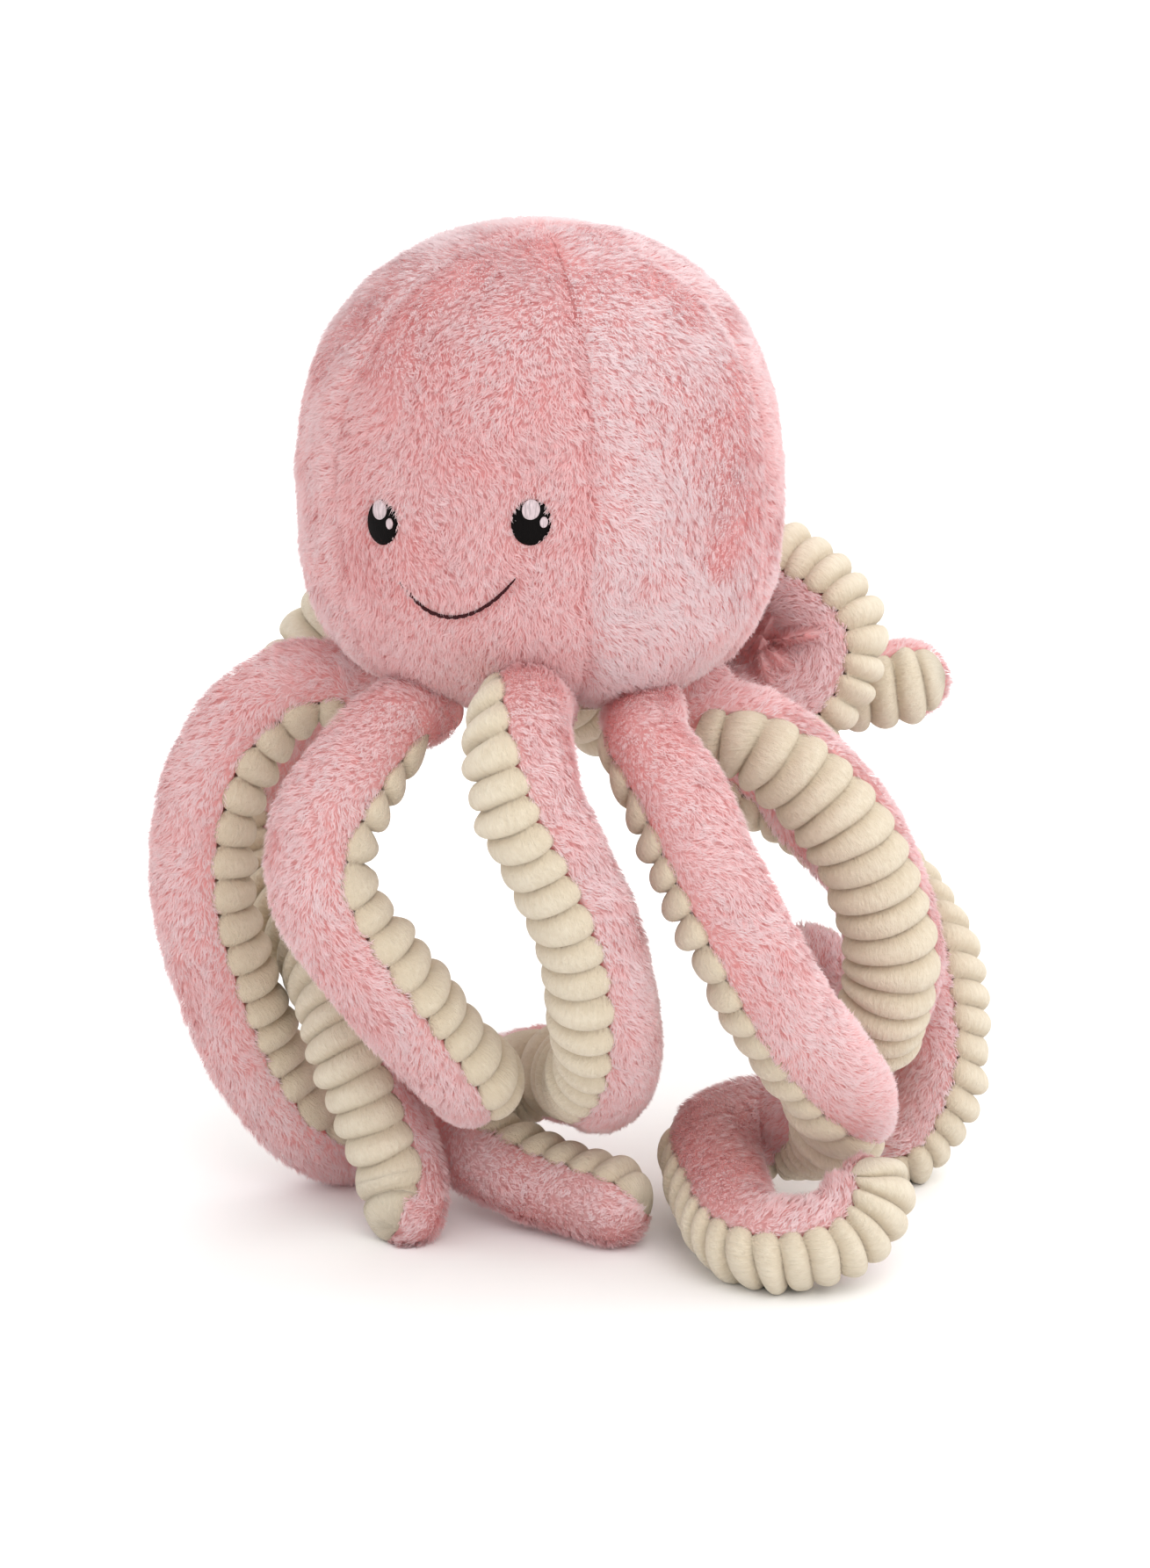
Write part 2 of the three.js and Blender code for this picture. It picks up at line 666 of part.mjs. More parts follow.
// A closed oval pad beside an eye's middle, domed by rings that rise towards its own.
function padForm(azimuth, { width, height, aside, rise }, base, thickness) {
  const degreesPer = 180 / (Math.PI * headRadiusAt(EYE_LEVEL));
  const roundAt = (share, lift) =>
    Array.from({ length: PAD_SECTORS }, (_, sector) => {
      const angle = (2 * Math.PI * sector) / PAD_SECTORS;
      const sideways = aside + (width / 2) * share * Math.cos(angle);
      const upwards = rise + (height / 2) * share * Math.sin(angle);
      return onFace(azimuth + sideways * degreesPer, EYE_LEVEL + upwards, lift);
    });
  const rounds = [roundAt(1 / PAD_RINGS, base), roundAt(1, base)];
  for (let ring = PAD_RINGS; ring > 0; ring--) {
    const share = ring / PAD_RINGS;
    rounds.push(roundAt(share, base + thickness * Math.sqrt(1 - Math.pow(share * PAD_EDGE_SHARE, 2))));
  }
  return solidOf(loft(rounds));
}

// The smile: a ridge of stitching along a hanging arc, sunk on to the flats of the faceted gore.
function smileForm() {
  const base = GAP - FACET_SINK;
  const rings = [];
  for (let step = 0; step <= SMILE_STEPS; step++) {
    const share = (2 * step) / SMILE_STEPS - 1;
    const azimuth = SMILE_HALF_ANGLE * share;
    const level = SMILE_LEVEL - SMILE_DROP * (1 - share * share);
    const half = (STITCH_WIDTH / 2) * (1 - SMILE_THINNING_SHARE * share * share);
    const ring = [
      onFace(azimuth, level - half, base),
      onFace(azimuth, level - half, base + STITCH_HEIGHT / 2),
      onFace(azimuth, level, base + STITCH_HEIGHT),
      onFace(azimuth, level + half, base + STITCH_HEIGHT / 2),
      onFace(azimuth, level + half, base),
    ];
    rings.push(ring.reverse());
  }
  return solidOf(loft(rings));
}

// The toy

const toy = new THREE.Group();
toy.name = "octopus";

function addPiece(name, solid, material) {
  const mesh = new THREE.Mesh(geometryOf(solid), material);
  mesh.name = name;
  toy.add(mesh);
}

const sockets = ARMS.map((arm) => knuckleBall(arm, SOCKET_ROOM, GAP)).reduce((one, two) => one.add(two));

const goreNames = ["face", "right_cheek", "right_nape", "nape", "left_nape", "left_cheek"];
goreNames.forEach((name, i) => {
  addPiece("gore_" + name, goreForm(GORE_EDGES[i], GORE_EDGES[i + 1]).subtract(sockets), pinkPlush);
});
addPiece("head_filling", fillingForm(), filling);
addPiece("base_patch", patchForm().subtract(sockets), creamPlush);

const arms = ARMS.map(armForms);
const floor = floorForm(arms);
for (const { name, sleeve, strip } of arms) {
  addPiece("sleeve_" + name, sleeve.subtract(floor), pinkPlush);
  addPiece("ribs_" + name, strip.subtract(floor), creamPlush);
}

const glint = { width: GLINT_WIDTH, height: GLINT_HEIGHT, aside: 0, rise: GLINT_RISE };
const spark = { width: SPARK_WIDTH, height: SPARK_HEIGHT, aside: SPARK_OFFSET, rise: 0 };
const eye = { width: EYE_WIDTH, height: EYE_HEIGHT, aside: 0, rise: 0 };
for (const [name, azimuth] of [["left", -EYE_AZIMUTH], ["right", EYE_AZIMUTH]]) {
  addPiece("eye_" + name, padForm(azimuth, eye, GAP, EYE_THICKNESS), blackThread);
  const over = GAP + EYE_THICKNESS + GAP;
  addPiece("glint_" + name, padForm(azimuth, glint, over, GLINT_THICKNESS), whiteThread);
  addPiece("spark_" + name, padForm(azimuth, spark, over, GLINT_THICKNESS), whiteThread);
}
addPiece("smile", smileForm(), blackThread);

// The origin is on the floor, under the middle of the whole toy's outline.
const bounds = new THREE.Box3().setFromObject(toy);
const middle = bounds.getCenter(new THREE.Vector3());
toy.children.forEach((mesh) => mesh.position.set(-middle.x, -middle.y, -bounds.min.z));

export default toy;
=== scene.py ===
"""A stuffed octopus in long pink plush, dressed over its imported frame.

Metres, +Z up, the face along -Y. Left and right are as the toy is seen from the front.
"""
import json
import math

import bpy
import numpy as np
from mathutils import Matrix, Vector


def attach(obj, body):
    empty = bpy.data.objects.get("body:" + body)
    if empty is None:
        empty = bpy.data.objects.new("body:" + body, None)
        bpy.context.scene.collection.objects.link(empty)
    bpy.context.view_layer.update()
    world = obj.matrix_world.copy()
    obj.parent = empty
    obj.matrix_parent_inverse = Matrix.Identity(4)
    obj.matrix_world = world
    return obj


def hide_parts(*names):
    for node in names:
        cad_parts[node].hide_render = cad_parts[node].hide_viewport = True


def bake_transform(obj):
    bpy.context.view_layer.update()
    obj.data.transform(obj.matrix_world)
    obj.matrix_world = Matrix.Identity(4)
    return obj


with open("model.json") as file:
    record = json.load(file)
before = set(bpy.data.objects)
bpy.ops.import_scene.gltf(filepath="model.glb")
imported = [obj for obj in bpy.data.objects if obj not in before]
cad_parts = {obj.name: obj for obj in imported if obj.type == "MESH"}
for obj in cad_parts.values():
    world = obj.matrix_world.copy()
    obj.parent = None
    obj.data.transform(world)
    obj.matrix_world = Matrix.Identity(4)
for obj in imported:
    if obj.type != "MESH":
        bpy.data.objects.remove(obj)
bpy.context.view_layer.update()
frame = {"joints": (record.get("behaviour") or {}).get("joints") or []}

# Head
#
# Six gores of long pink plush, sewn edge to edge from the crown down to a round patch underneath and
# stuffed hard. The seams draw the cloth in, and the pile lies in small locks that close over them.

HEAD_RADIUS = 0.118
HEAD_TOP = 0.489
HEAD_WIDEST = 0.361
HEAD_BOTTOM = 0.257
TOP_SQUARENESS = 2.35
BOTTOM_SQUARENESS = 2.8
PATCH_RADIUS = 0.070
KNUCKLE_HEIGHT = 0.268
GORE_EDGES = (-34, 34, 90, 148, 212, 270, 326)
GORES = ("face", "right_cheek", "right_nape", "nape", "left_nape", "left_cheek")
SEAM_DEPTH = 0.0030
SEAM_REACH = 0.0050
CLOTH_INSET = 0.0033
CLOTH_THICKNESS = 0.004
CROWN_RADIUS = 0.030
CROWN_OPENING = 0.02
# Noise is given by its size and its amount, here and below.
LUMPS = (0.045, 0.0011)
DIMPLES = (0.016, 0.0005)
GORE_ROWS = 64
GORE_COLUMNS = 26
GORE_MARGIN = 0.1
FLOOR_GAP = 0.0004
SMALL_STEP = 1e-5

PILE_LENGTH = 0.0064
PILE_WIDTH = 0.00052
PILE_DENSITY = 1.25e6 * 1.0
LOCK_SIZE = 0.0034
PILOT_ROOTS = 4000
PILOT_FULL = 0.995

# A strand's lower and upper half: how far it points outwards, along the flow and, by chance, aside, its
# share of the length, and how far it is drawn to the middle of its lock.
LOWER_HALF = (0.76, 0.65, 0.16, 0.5, 0.18)
UPPER_HALF = (0.44, 0.90, 0.26, 0.55, 0.30)
# How far a lock, a patch of locks and a strand turn from the flow, in radians.
LOCK_TURN = 0.9
TURN_PATCHES = (0.010, 0.5)
STRAND_TURN = 0.26
# The shortest lock's share of the length, what luck adds to it, and the range from strand to strand.
SHORT_LOCK = 0.86
LOCK_GROWTH = 0.28
STRAND_LENGTHS = (0.82, 1.12)
# How far the shading leans along the flow and aside, at a strand's root, its two sides and its tip.
SHADING_LEANS = (-0.30, -0.05, -0.05, 0.25)
SHADING_SIDES = (0, -0.22, 0.22, 0)
SHADING_STRAY = 0.10

# Shade is less for a deeper pink and more for a paler one.
MID_SHADE = 0.5
BROAD_PATCHES = (0.022, 0.09)
FINE_PATCHES = (0.009, 0.10)
LOCK_SHADE = 0.26
STRAND_SHADE = 0.08
SHADE_LIMITS = (0.04, 0.96)
SHADE_ACROSS = (0, -0.012, 0.012, 0)
STRAND_HEIGHTS = (0.0, 0.5, 0.5, 1.0)
BACKING_PATCHES = (0.02, 0.2)
BACKING_HEIGHTS = (0.02, 0.3)
# Painted shade: the pile is deeper pink along each seam, fading out over this reach.
SEAM_PAINTED_SHADE = -0.22
SEAM_PAINTED_SHADE_REACH = 0.003
# Painted light and shade by gore: the right cheek paler, the face deeper and the other gores a little
# paler. Painted light on the crown, paler towards its top.
GORE_PAINTED_LIGHT = {"face": -0.07, "right_cheek": 0.29}
OTHER_GORES_PAINTED_LIGHT = 0.08
CROWN_PAINTED_LIGHT = 0.40
CROWN_PAINTED_LIGHT_FADE = (0.09, 0.01)

# The size of broad and of fine swirls of the pile, and how far they turn it.
GORE_SWIRLS = ((0.05, 1.0), (0.02, 0.85))
SEAM_TURN = 0.35
SEAM_TURN_REACH = 0.03
LENGTH_PATCHES = (0.014, 0.22)
CLIPPED_SHARES = (0.4, 0.5)
CLIPPED_REACH = 0.008
STITCH_OVERLAP = 0.0008

ROOT_PINK = (0.985, 0.54, 0.53, 1)
MID_PINK = (0.99, 0.70, 0.70, 1)
TIP_PINK = (0.995, 0.88, 0.89, 1)
PALE_PINK = (0.995, 0.95, 0.965, 1)
THROUGH_PILE = 0.48
GRAIN_SCALE = 38.0
GRAIN_SHARE = 0.22
PALER_FROM = (0.55, 1.05)
DEEPER_FROM = (0.60, 0.15)
MOST_TINT = 0.75

# The eight knuckles stand in a ring round the head's axis.
ring_middle = np.mean([joint["pos_m"] for joint in frame["joints"]], axis=0)
FOOT = ring_middle - (0, 0, KNUCKLE_HEIGHT)


def scatter(cells, seed, count):
    """Repeatable random numbers from 0 to 1 for whole-number cells: their three indices are multiplied
    by large primes, mixed by shifts and cut to 16 bits."""
    x, y, z = cells[..., 0], cells[..., 1], cells[..., 2]
    mixed = (x * 73856093) ^ (y * 19349663) ^ (z * 83492791) ^ (seed * 374761393)
    values = []
    for _ in range(count):
        mixed = (mixed ^ (mixed >> 13)) * 1274126177 + 97
        values.append(((mixed ^ (mixed >> 16)) & 0xFFFF) / 0xFFFF)
    return values


def smooth(value, low, high):
    """3t^2 - 2t^3, where t runs from 0 at low to 1 at high."""
    t = np.clip((value - low) / (high - low), 0, 1)
    return t * t * (3 - 2 * t)


def drift(places, size, seed):
    """Smooth noise from -1 to 1: a random value at each corner of cubes of this size, blended smoothly
    along each edge."""
    spot = places / size
    cell = np.floor(spot).astype(np.int64)
    t = smooth(spot - cell, 0, 1)
    total = np.zeros(places.shape[:-1])
    for corner in np.ndindex(2, 2, 2):
        value = 2 * scatter(cell + corner, seed, 1)[0] - 1
        total += value * np.prod(np.where(corner, t, 1 - t), axis=-1)
    return total


def nearest_lock(places, seed):
    """The middle of the lock that each place belongs to, the nearest of one random point in each cube of
    the lock's size, and two random numbers of the lock's own."""
    cell = np.floor(places / LOCK_SIZE).astype(np.int64)
    nearest = np.full(len(places), np.inf)
    middle = np.zeros_like(places)
    luck = np.zeros((len(places), 2))
    for step in np.ndindex(3, 3, 3):
        near = cell + step - 1
        a, b, c, d, e = scatter(near, seed, 5)
        point = (near + np.stack([a, b, c], axis=-1)) * LOCK_SIZE
        gap = np.sum((point - places) ** 2, axis=-1)
        closer = gap < nearest
        nearest = np.where(closer, gap, nearest)
        middle[closer] = point[closer]
        luck[closer] = np.stack([d, e], axis=-1)[closer]
    return middle, luck


def unit(vectors):
    return vectors / np.maximum(np.linalg.norm(vectors, axis=-1, keepdims=True), 1e-12)


def skin(surface, across, along, small):
    """Places of a surface of two parameters, with its outward unit normals, the unit vector along its
    second parameter and the area of one square unit of parameters, from two small differences."""
    here = surface(across, along)
    one = (surface(across + small, along) - here) / small
    two = (surface(across, along + small) - here) / small
    normal = np.cross(one, two)
    area = np.linalg.norm(normal, axis=-1)
    return here, unit(normal), unit(two), area


def sown(surface, across, along, seed):
    """Roots of the pile: random parameters over a rectangle, each kept with a chance in proportion to
    the surface's area there, so that they lie evenly."""
    chance = np.random.default_rng(seed)
    span = (across[1] - across[0]) * (along[1] - along[0])
    pilot = skin(surface, *(chance.uniform(*ends, PILOT_ROOTS) for ends in (across, along)), SMALL_STEP)[3]
    full = np.quantile(pilot, PILOT_FULL)
    tries = int(PILE_DENSITY * span * full)
    u, v = chance.uniform(*across, tries), chance.uniform(*along, tries)
    area = skin(surface, u, v, SMALL_STEP)[3]
    keep = chance.uniform(0, full, tries) < area
    return u[keep], v[keep]


def patches(places, noise, seed):
    """Smooth noise of one size, plus or minus up to one amount."""
    return noise[1] * drift(places, noise[0], seed)


def strands(roots, normals, flow, length, tone, seed):
    """Kite-shaped strands of two triangles. A strand leaves its root at a lean, bends over at half its
    length towards the flow, and is drawn a little to the middle of its lock. Returns places, triangles,
    normals, which are the cloth's own with a little of the strand's turn, and for each place its shade
    and how far up the strand it is."""
    chance = np.random.default_rng(seed)
    count = len(roots)
    middle, luck = nearest_lock(roots, seed)
    turn = (luck[:, :1] - 0.5) * LOCK_TURN + patches(roots, TURN_PATCHES, seed + 4)[:, None]
    turn += chance.normal(0, STRAND_TURN, (count, 1))
    flow = flow * np.cos(turn) + np.cross(normals, flow) * np.sin(turn)
    across = np.cross(normals, flow)
    draw = middle - roots
    draw -= normals * np.sum(draw * normals, axis=-1, keepdims=True)
    long = length[:, None] * (SHORT_LOCK + LOCK_GROWTH * luck[:, 1:])
    long = long * chance.uniform(*STRAND_LENGTHS, (count, 1))
    spine = [roots]
    for out, along, stray, share, drawn in (LOWER_HALF, UPPER_HALF):
        way = unit(normals * out + flow * along + across * chance.normal(0, stray, (count, 1)))
        spine.append(spine[-1] + way * long * share + draw * drawn)
    _, bend, tip = spine
    half = across * PILE_WIDTH / 2
    places = np.stack([roots, bend - half, bend + half, tip], axis=1).reshape(-1, 3)
    first = np.arange(count)[:, None] * 4
    triangles = np.stack([first + (0, 1, 2), first + (2, 1, 3)], axis=1).reshape(-1, 3)
    leans = np.array(SHADING_LEANS)[:, None] * flow[:, None]
    sides = np.array(SHADING_SIDES)[:, None] * across[:, None]
    stray = chance.normal(0, SHADING_STRAY, (count, 1, 3))
    shading = unit(normals[:, None] + leans + sides + stray).reshape(-1, 3)
    patch = patches(roots, BROAD_PATCHES, seed + 5) + patches(roots, FINE_PATCHES, seed + 6)
    luck_shade = (luck[:, 0] - 0.5) * LOCK_SHADE
    shade = MID_SHADE + patch + luck_shade + chance.normal(0, STRAND_SHADE, count) + tone
    shades = np.clip(shade, *SHADE_LIMITS)[:, None] + np.array(SHADE_ACROSS)
    heights = np.broadcast_to(STRAND_HEIGHTS, (count, 4))
    return places, triangles, shading, np.stack([shades, heights], axis=-1).reshape(-1, 2)


def closed_rings(rings):
    """Triangles that join rings of one even size in order, and close each end with a ladder between the
    ring's first half and its second. They point outwards."""
    count, size = rings.shape[:2]
    row, column = np.meshgrid(np.arange(count - 1), np.arange(size), indexing="ij")
    a = row * size + column
    b = row * size + (column + 1) % size
    sides = np.stack([a, b, b + size, a, b + size, a + size], axis=-1).reshape(-1, 3)
    rung = np.arange(size // 2 - 1)
    near, far = rung + 1, size - 2 - rung
    start = np.stack([rung, far + 1, far, rung, far, near], axis=-1).reshape(-1, 3)
    end = start[:, ::-1] + (count - 1) * size
    triangles = np.concatenate([sides, start, end])
    places = rings.reshape(-1, 3)
    corners = places[triangles] - places.mean(axis=0)
    volume = np.sum(corners[:, 0] * np.cross(corners[:, 1], corners[:, 2]))
    return triangles if volume > 0 else triangles[:, ::-1]


def placed(name, data):
    """A new object in the scene, made of this data."""
    made = bpy.data.objects.new(name, data)
    bpy.context.scene.collection.objects.link(made)
    return made


def add_piece(name, places, triangles, material, uv=None):
    """A smooth mesh of triangles at its place, with one UV map where its material reads one."""
    mesh = bpy.data.meshes.new(name)
    mesh.vertices.add(places.size // 3)
    mesh.vertices.foreach_set("co", places.astype(np.float32).ravel())
    mesh.loops.add(triangles.size)
    mesh.loops.foreach_set("vertex_index", triangles.astype(np.int32).ravel())
    mesh.polygons.add(len(triangles))
    mesh.polygons.foreach_set("loop_start", np.arange(0, triangles.size, 3, dtype=np.int32))
    mesh.polygons.foreach_set("use_smooth", np.ones(len(triangles), bool))
    mesh.update(calc_edges=True)
    if uv is not None:
        layer = mesh.uv_layers.new(name="OFBake")
        layer.data.foreach_set("uv", uv[triangles.ravel()].astype(np.float32).ravel())
    mesh.materials.append(material)
    return placed(name, mesh)


def ring_normals(places, triangles):
    """Outward normals at the places of a mesh: the sum of the normals of the triangles round each."""
    corners = places[triangles]
    facets = np.cross(corners[:, 1] - corners[:, 0], corners[:, 2] - corners[:, 0])
    sums = [
        sum(np.bincount(triangles[:, corner], facets[:, axis], len(places)) for corner in range(3))
        for axis in range(3)
    ]
    return unit(np.stack(sums, axis=-1))


def add_plush(name, rings, pile, seed):
    """One piece of plush: its closed backing and its pile, with shade and height as the UV map."""
    chance = np.random.default_rng(seed)
    backing = rings.reshape(-1, 3)
    ground_shade = MID_SHADE + patches(backing, BACKING_PATCHES, seed)
    ground = np.stack([ground_shade, chance.uniform(*BACKING_HEIGHTS, len(backing))], axis=-1)
    places, triangles, shading, shades = pile
    every_place = np.concatenate([backing, places])
    every_place[:, 2] = np.maximum(every_place[:, 2], FLOOR_GAP)
    cloth = closed_rings(rings)
    every_triangle = np.concatenate([cloth, triangles + len(backing)])
    piece = add_piece(name, every_place, every_triangle, pink_plush, np.concatenate([ground, shades]))
    every_normal = np.concatenate([ring_normals(backing, cloth), shading])
    piece.data.normals_split_custom_set_from_vertices(every_normal)
    return piece


def plain_material(name, rough, specular):
    """A new material, its nodes, its links and its shader, which is set to be this rough and shiny."""
    material = bpy.data.materials.new(name)
    material.use_nodes = True
    nodes, links = material.node_tree.nodes, material.node_tree.links
    shader = nodes["Principled BSDF"]
    shader.inputs["Roughness"].default_value = rough
    shader.inputs["Specular IOR Level"].default_value = specular
    return material, nodes, links, shader


def add_noise(nodes, links, place, scale, detail, rough=0.5):
    """The value of a noise texture at a place."""
    noise = nodes.new("ShaderNodeTexNoise")
    noise.inputs["Scale"].default_value = scale
    noise.inputs["Detail"].default_value = detail
    noise.inputs["Roughness"].default_value = rough
    links.new(place, noise.inputs["Vector"])
    return noise.outputs["Fac"]


def add_sum(nodes, links, value, factor, other=None):
    """value x factor + other, where the factor is a plain number and the other may be left out."""
    total = nodes.new("ShaderNodeMath")
    total.operation = "MULTIPLY_ADD" if other else "MULTIPLY"
    total.inputs[1].default_value = factor
    links.new(value, total.inputs[0])
    if other:
        links.new(other, total.inputs[2])
    return total.outputs[0]


def add_ramp(nodes, links, value, stops, blend="LINEAR"):
    """The colour for a value, from stops of a value and its colour, lowest first."""
    ramp = nodes.new("ShaderNodeValToRGB")
    ramp.color_ramp.interpolation = blend
    for element, (position, colour) in zip(ramp.color_ramp.elements, (stops[0], stops[-1])):
        element.position, element.color = position, colour
    for position, colour in stops[1:-1]:
        ramp.color_ramp.elements.new(position).color = colour
    links.new(value, ramp.inputs[0])
    return ramp.outputs["Color"]


def add_relief(nodes, links, shader, height, strength, distance):
    """Bumps on a shader: a height of 1 stands this distance out."""
    bump = nodes.new("ShaderNodeBump")
    bump.inputs["Strength"].default_value = strength
    bump.inputs["Distance"].default_value = distance
    links.new(height, bump.inputs["Height"])
    links.new(bump.outputs["Normal"], shader.inputs["Normal"])


def plush_material(name):
    """Pile whose colour runs from its root to its tip, and which is lighter or deeper by lock, and by
    painted light and shade by gore, on the crown, along the seams and on the arms. Both are read from the
    UV map: shade across, height up. Part of the light passes through the thin pile."""
    material, nodes, links, shader = plain_material(name, rough=1.0, specular=0.0)
    place = nodes.new("ShaderNodeUVMap")
    place.uv_map = "OFBake"
    split = nodes.new("ShaderNodeSeparateXYZ")
    links.new(place.outputs["UV"], split.inputs[0])
    grain = add_noise(nodes, links, place.outputs["UV"], GRAIN_SCALE, detail=3)
    shade = add_sum(nodes, links, grain, GRAIN_SHARE, split.outputs["X"])
    stops = (0.0, ROOT_PINK), (0.5, MID_PINK), (1.0, TIP_PINK)
    colour = add_ramp(nodes, links, split.outputs["Y"], stops, "EASE")
    for tint, (none, full) in ((PALE_PINK, PALER_FROM), (MID_PINK, DEEPER_FROM)):
        amount = nodes.new("ShaderNodeMapRange")
        amount.inputs["From Min"].default_value, amount.inputs["From Max"].default_value = none, full
        amount.inputs["To Max"].default_value = MOST_TINT
        links.new(shade, amount.inputs["Value"])
        mix = nodes.new("ShaderNodeMix")
        mix.data_type = "RGBA"
        mix.inputs["B"].default_value = tint
        links.new(amount.outputs["Result"], mix.inputs["Factor"])
        links.new(colour, mix.inputs["A"])
        colour = mix.outputs["Result"]
    links.new(colour, shader.inputs["Base Color"])
    through = nodes.new("ShaderNodeBsdfTranslucent")
    links.new(colour, through.inputs["Color"])
    both = nodes.new("ShaderNodeMixShader")
    both.inputs[0].default_value = THROUGH_PILE
    links.new(shader.outputs[0], both.inputs[1])
    links.new(through.outputs[0], both.inputs[2])
    links.new(both.outputs[0], nodes["Material Output"].inputs["Surface"])
    return material


pink_plush = plush_material("pink plush")


def head_half(above):
    """The height of the head's form above or below its widest level, and its squareness there."""
    tall = np.where(above, HEAD_TOP - HEAD_WIDEST, HEAD_WIDEST - HEAD_BOTTOM)
    return tall, np.where(above, TOP_SQUARENESS, BOTTOM_SQUARENESS)


def head_place(azimuth, angle, lift):
    """A place on the head, lifted off its form: at a radius of R cos(angle)^(2/n) from the axis and
    H sin(angle)^(2/n) over the widest level, where n is the squareness there."""
    tall, squareness = head_half(angle > 0)
    power = 2 / squareness
    radius = (HEAD_RADIUS + lift) * np.abs(np.cos(angle)) ** power
    rise = np.sign(angle) * (tall + lift) * np.abs(np.sin(angle)) ** power
    turn = np.radians(azimuth)
    return FOOT + np.stack([radius * np.sin(turn), -radius * np.cos(turn), HEAD_WIDEST + rise], -1)


def from_seam(azimuth, angle):
    """Metres round the head from the nearest seam, positive to its right."""
    radius = HEAD_RADIUS * np.abs(np.cos(angle))
    edges = np.radians(GORE_EDGES)
    away = np.radians(azimuth)[..., None] - edges
    nearest = np.argmin(np.abs(away), axis=-1)
    return np.take_along_axis(away, nearest[..., None], axis=-1)[..., 0] * radius


def head_cloth(azimuth, angle):
    """The head's cloth: its form drawn in by a bell-shaped valley at each seam, with soft lumps."""
    seam = from_seam(azimuth, angle)
    form = head_place(azimuth, angle, -CLOTH_INSET)
    lumps = patches(form, LUMPS, 3) + patches(form, DIMPLES, 4)
    off_axis = np.hypot(form[..., 0] - FOOT[0], form[..., 1] - FOOT[1])
    valley = SEAM_DEPTH * np.exp(-((seam / SEAM_REACH) ** 2)) * np.clip(off_axis / CROWN_RADIUS - 1, 0, 1)
    return head_place(azimuth, angle, lumps - CLOTH_INSET - valley)


head_low = -math.acos((PATCH_RADIUS / HEAD_RADIUS) ** (BOTTOM_SQUARENESS / 2))
head_high = 0.5 * math.pi - CROWN_OPENING

FACE_AZIMUTH = 1
FACE_TILT = 4.4
EYE_AZIMUTH = 18.8
EYE_LEVEL = 0.366
EYE_WIDTH = 0.019
EYE_HEIGHT = 0.022
SMILE_HALF_ANGLE = 14
SMILE_LEVEL = 0.3375
SMILE_DROP = 0.0155
SMILE_CLEARANCE = 0.0014


def face_slope(azimuth):
    """How far the askew face's level line has risen at this many degrees from the face's middle."""
    return np.radians(azimuth) * HEAD_RADIUS * math.tan(math.radians(FACE_TILT))


def from_stitches(azimuth, height):
    """Metres from the nearest stitched piece of the face, taken as two ovals and a hanging arc."""
    gaps = []
    azimuth = azimuth - FACE_AZIMUTH
    height = height - face_slope(azimuth)
    for eye in (-EYE_AZIMUTH, EYE_AZIMUTH):
        sideways = np.radians(azimuth - eye) * HEAD_RADIUS / (EYE_WIDTH / 2)
        upwards = (height - EYE_LEVEL) / (EYE_HEIGHT / 2)
        gaps.append((np.hypot(sideways, upwards) - 1) * EYE_WIDTH / 2)
    share = azimuth / SMILE_HALF_ANGLE
    arc = SMILE_LEVEL - SMILE_DROP * (1 - share**2)
    steep = 2 * SMILE_DROP * np.abs(share) / (np.radians(SMILE_HALF_ANGLE) * HEAD_RADIUS)
    beyond = np.radians(np.maximum(np.abs(azimuth) - SMILE_HALF_ANGLE, 0)) * HEAD_RADIUS
    gaps.append(np.hypot((height - arc) / np.hypot(1, steep), beyond) - SMILE_CLEARANCE)
    return np.min(gaps, axis=0)


def swirls(places, noises, seed):
    """How far the pile's flow turns, in radians: a broad noise and a fine one."""
    return patches(places, noises[0], seed) + patches(places, noises[1], seed + 1)


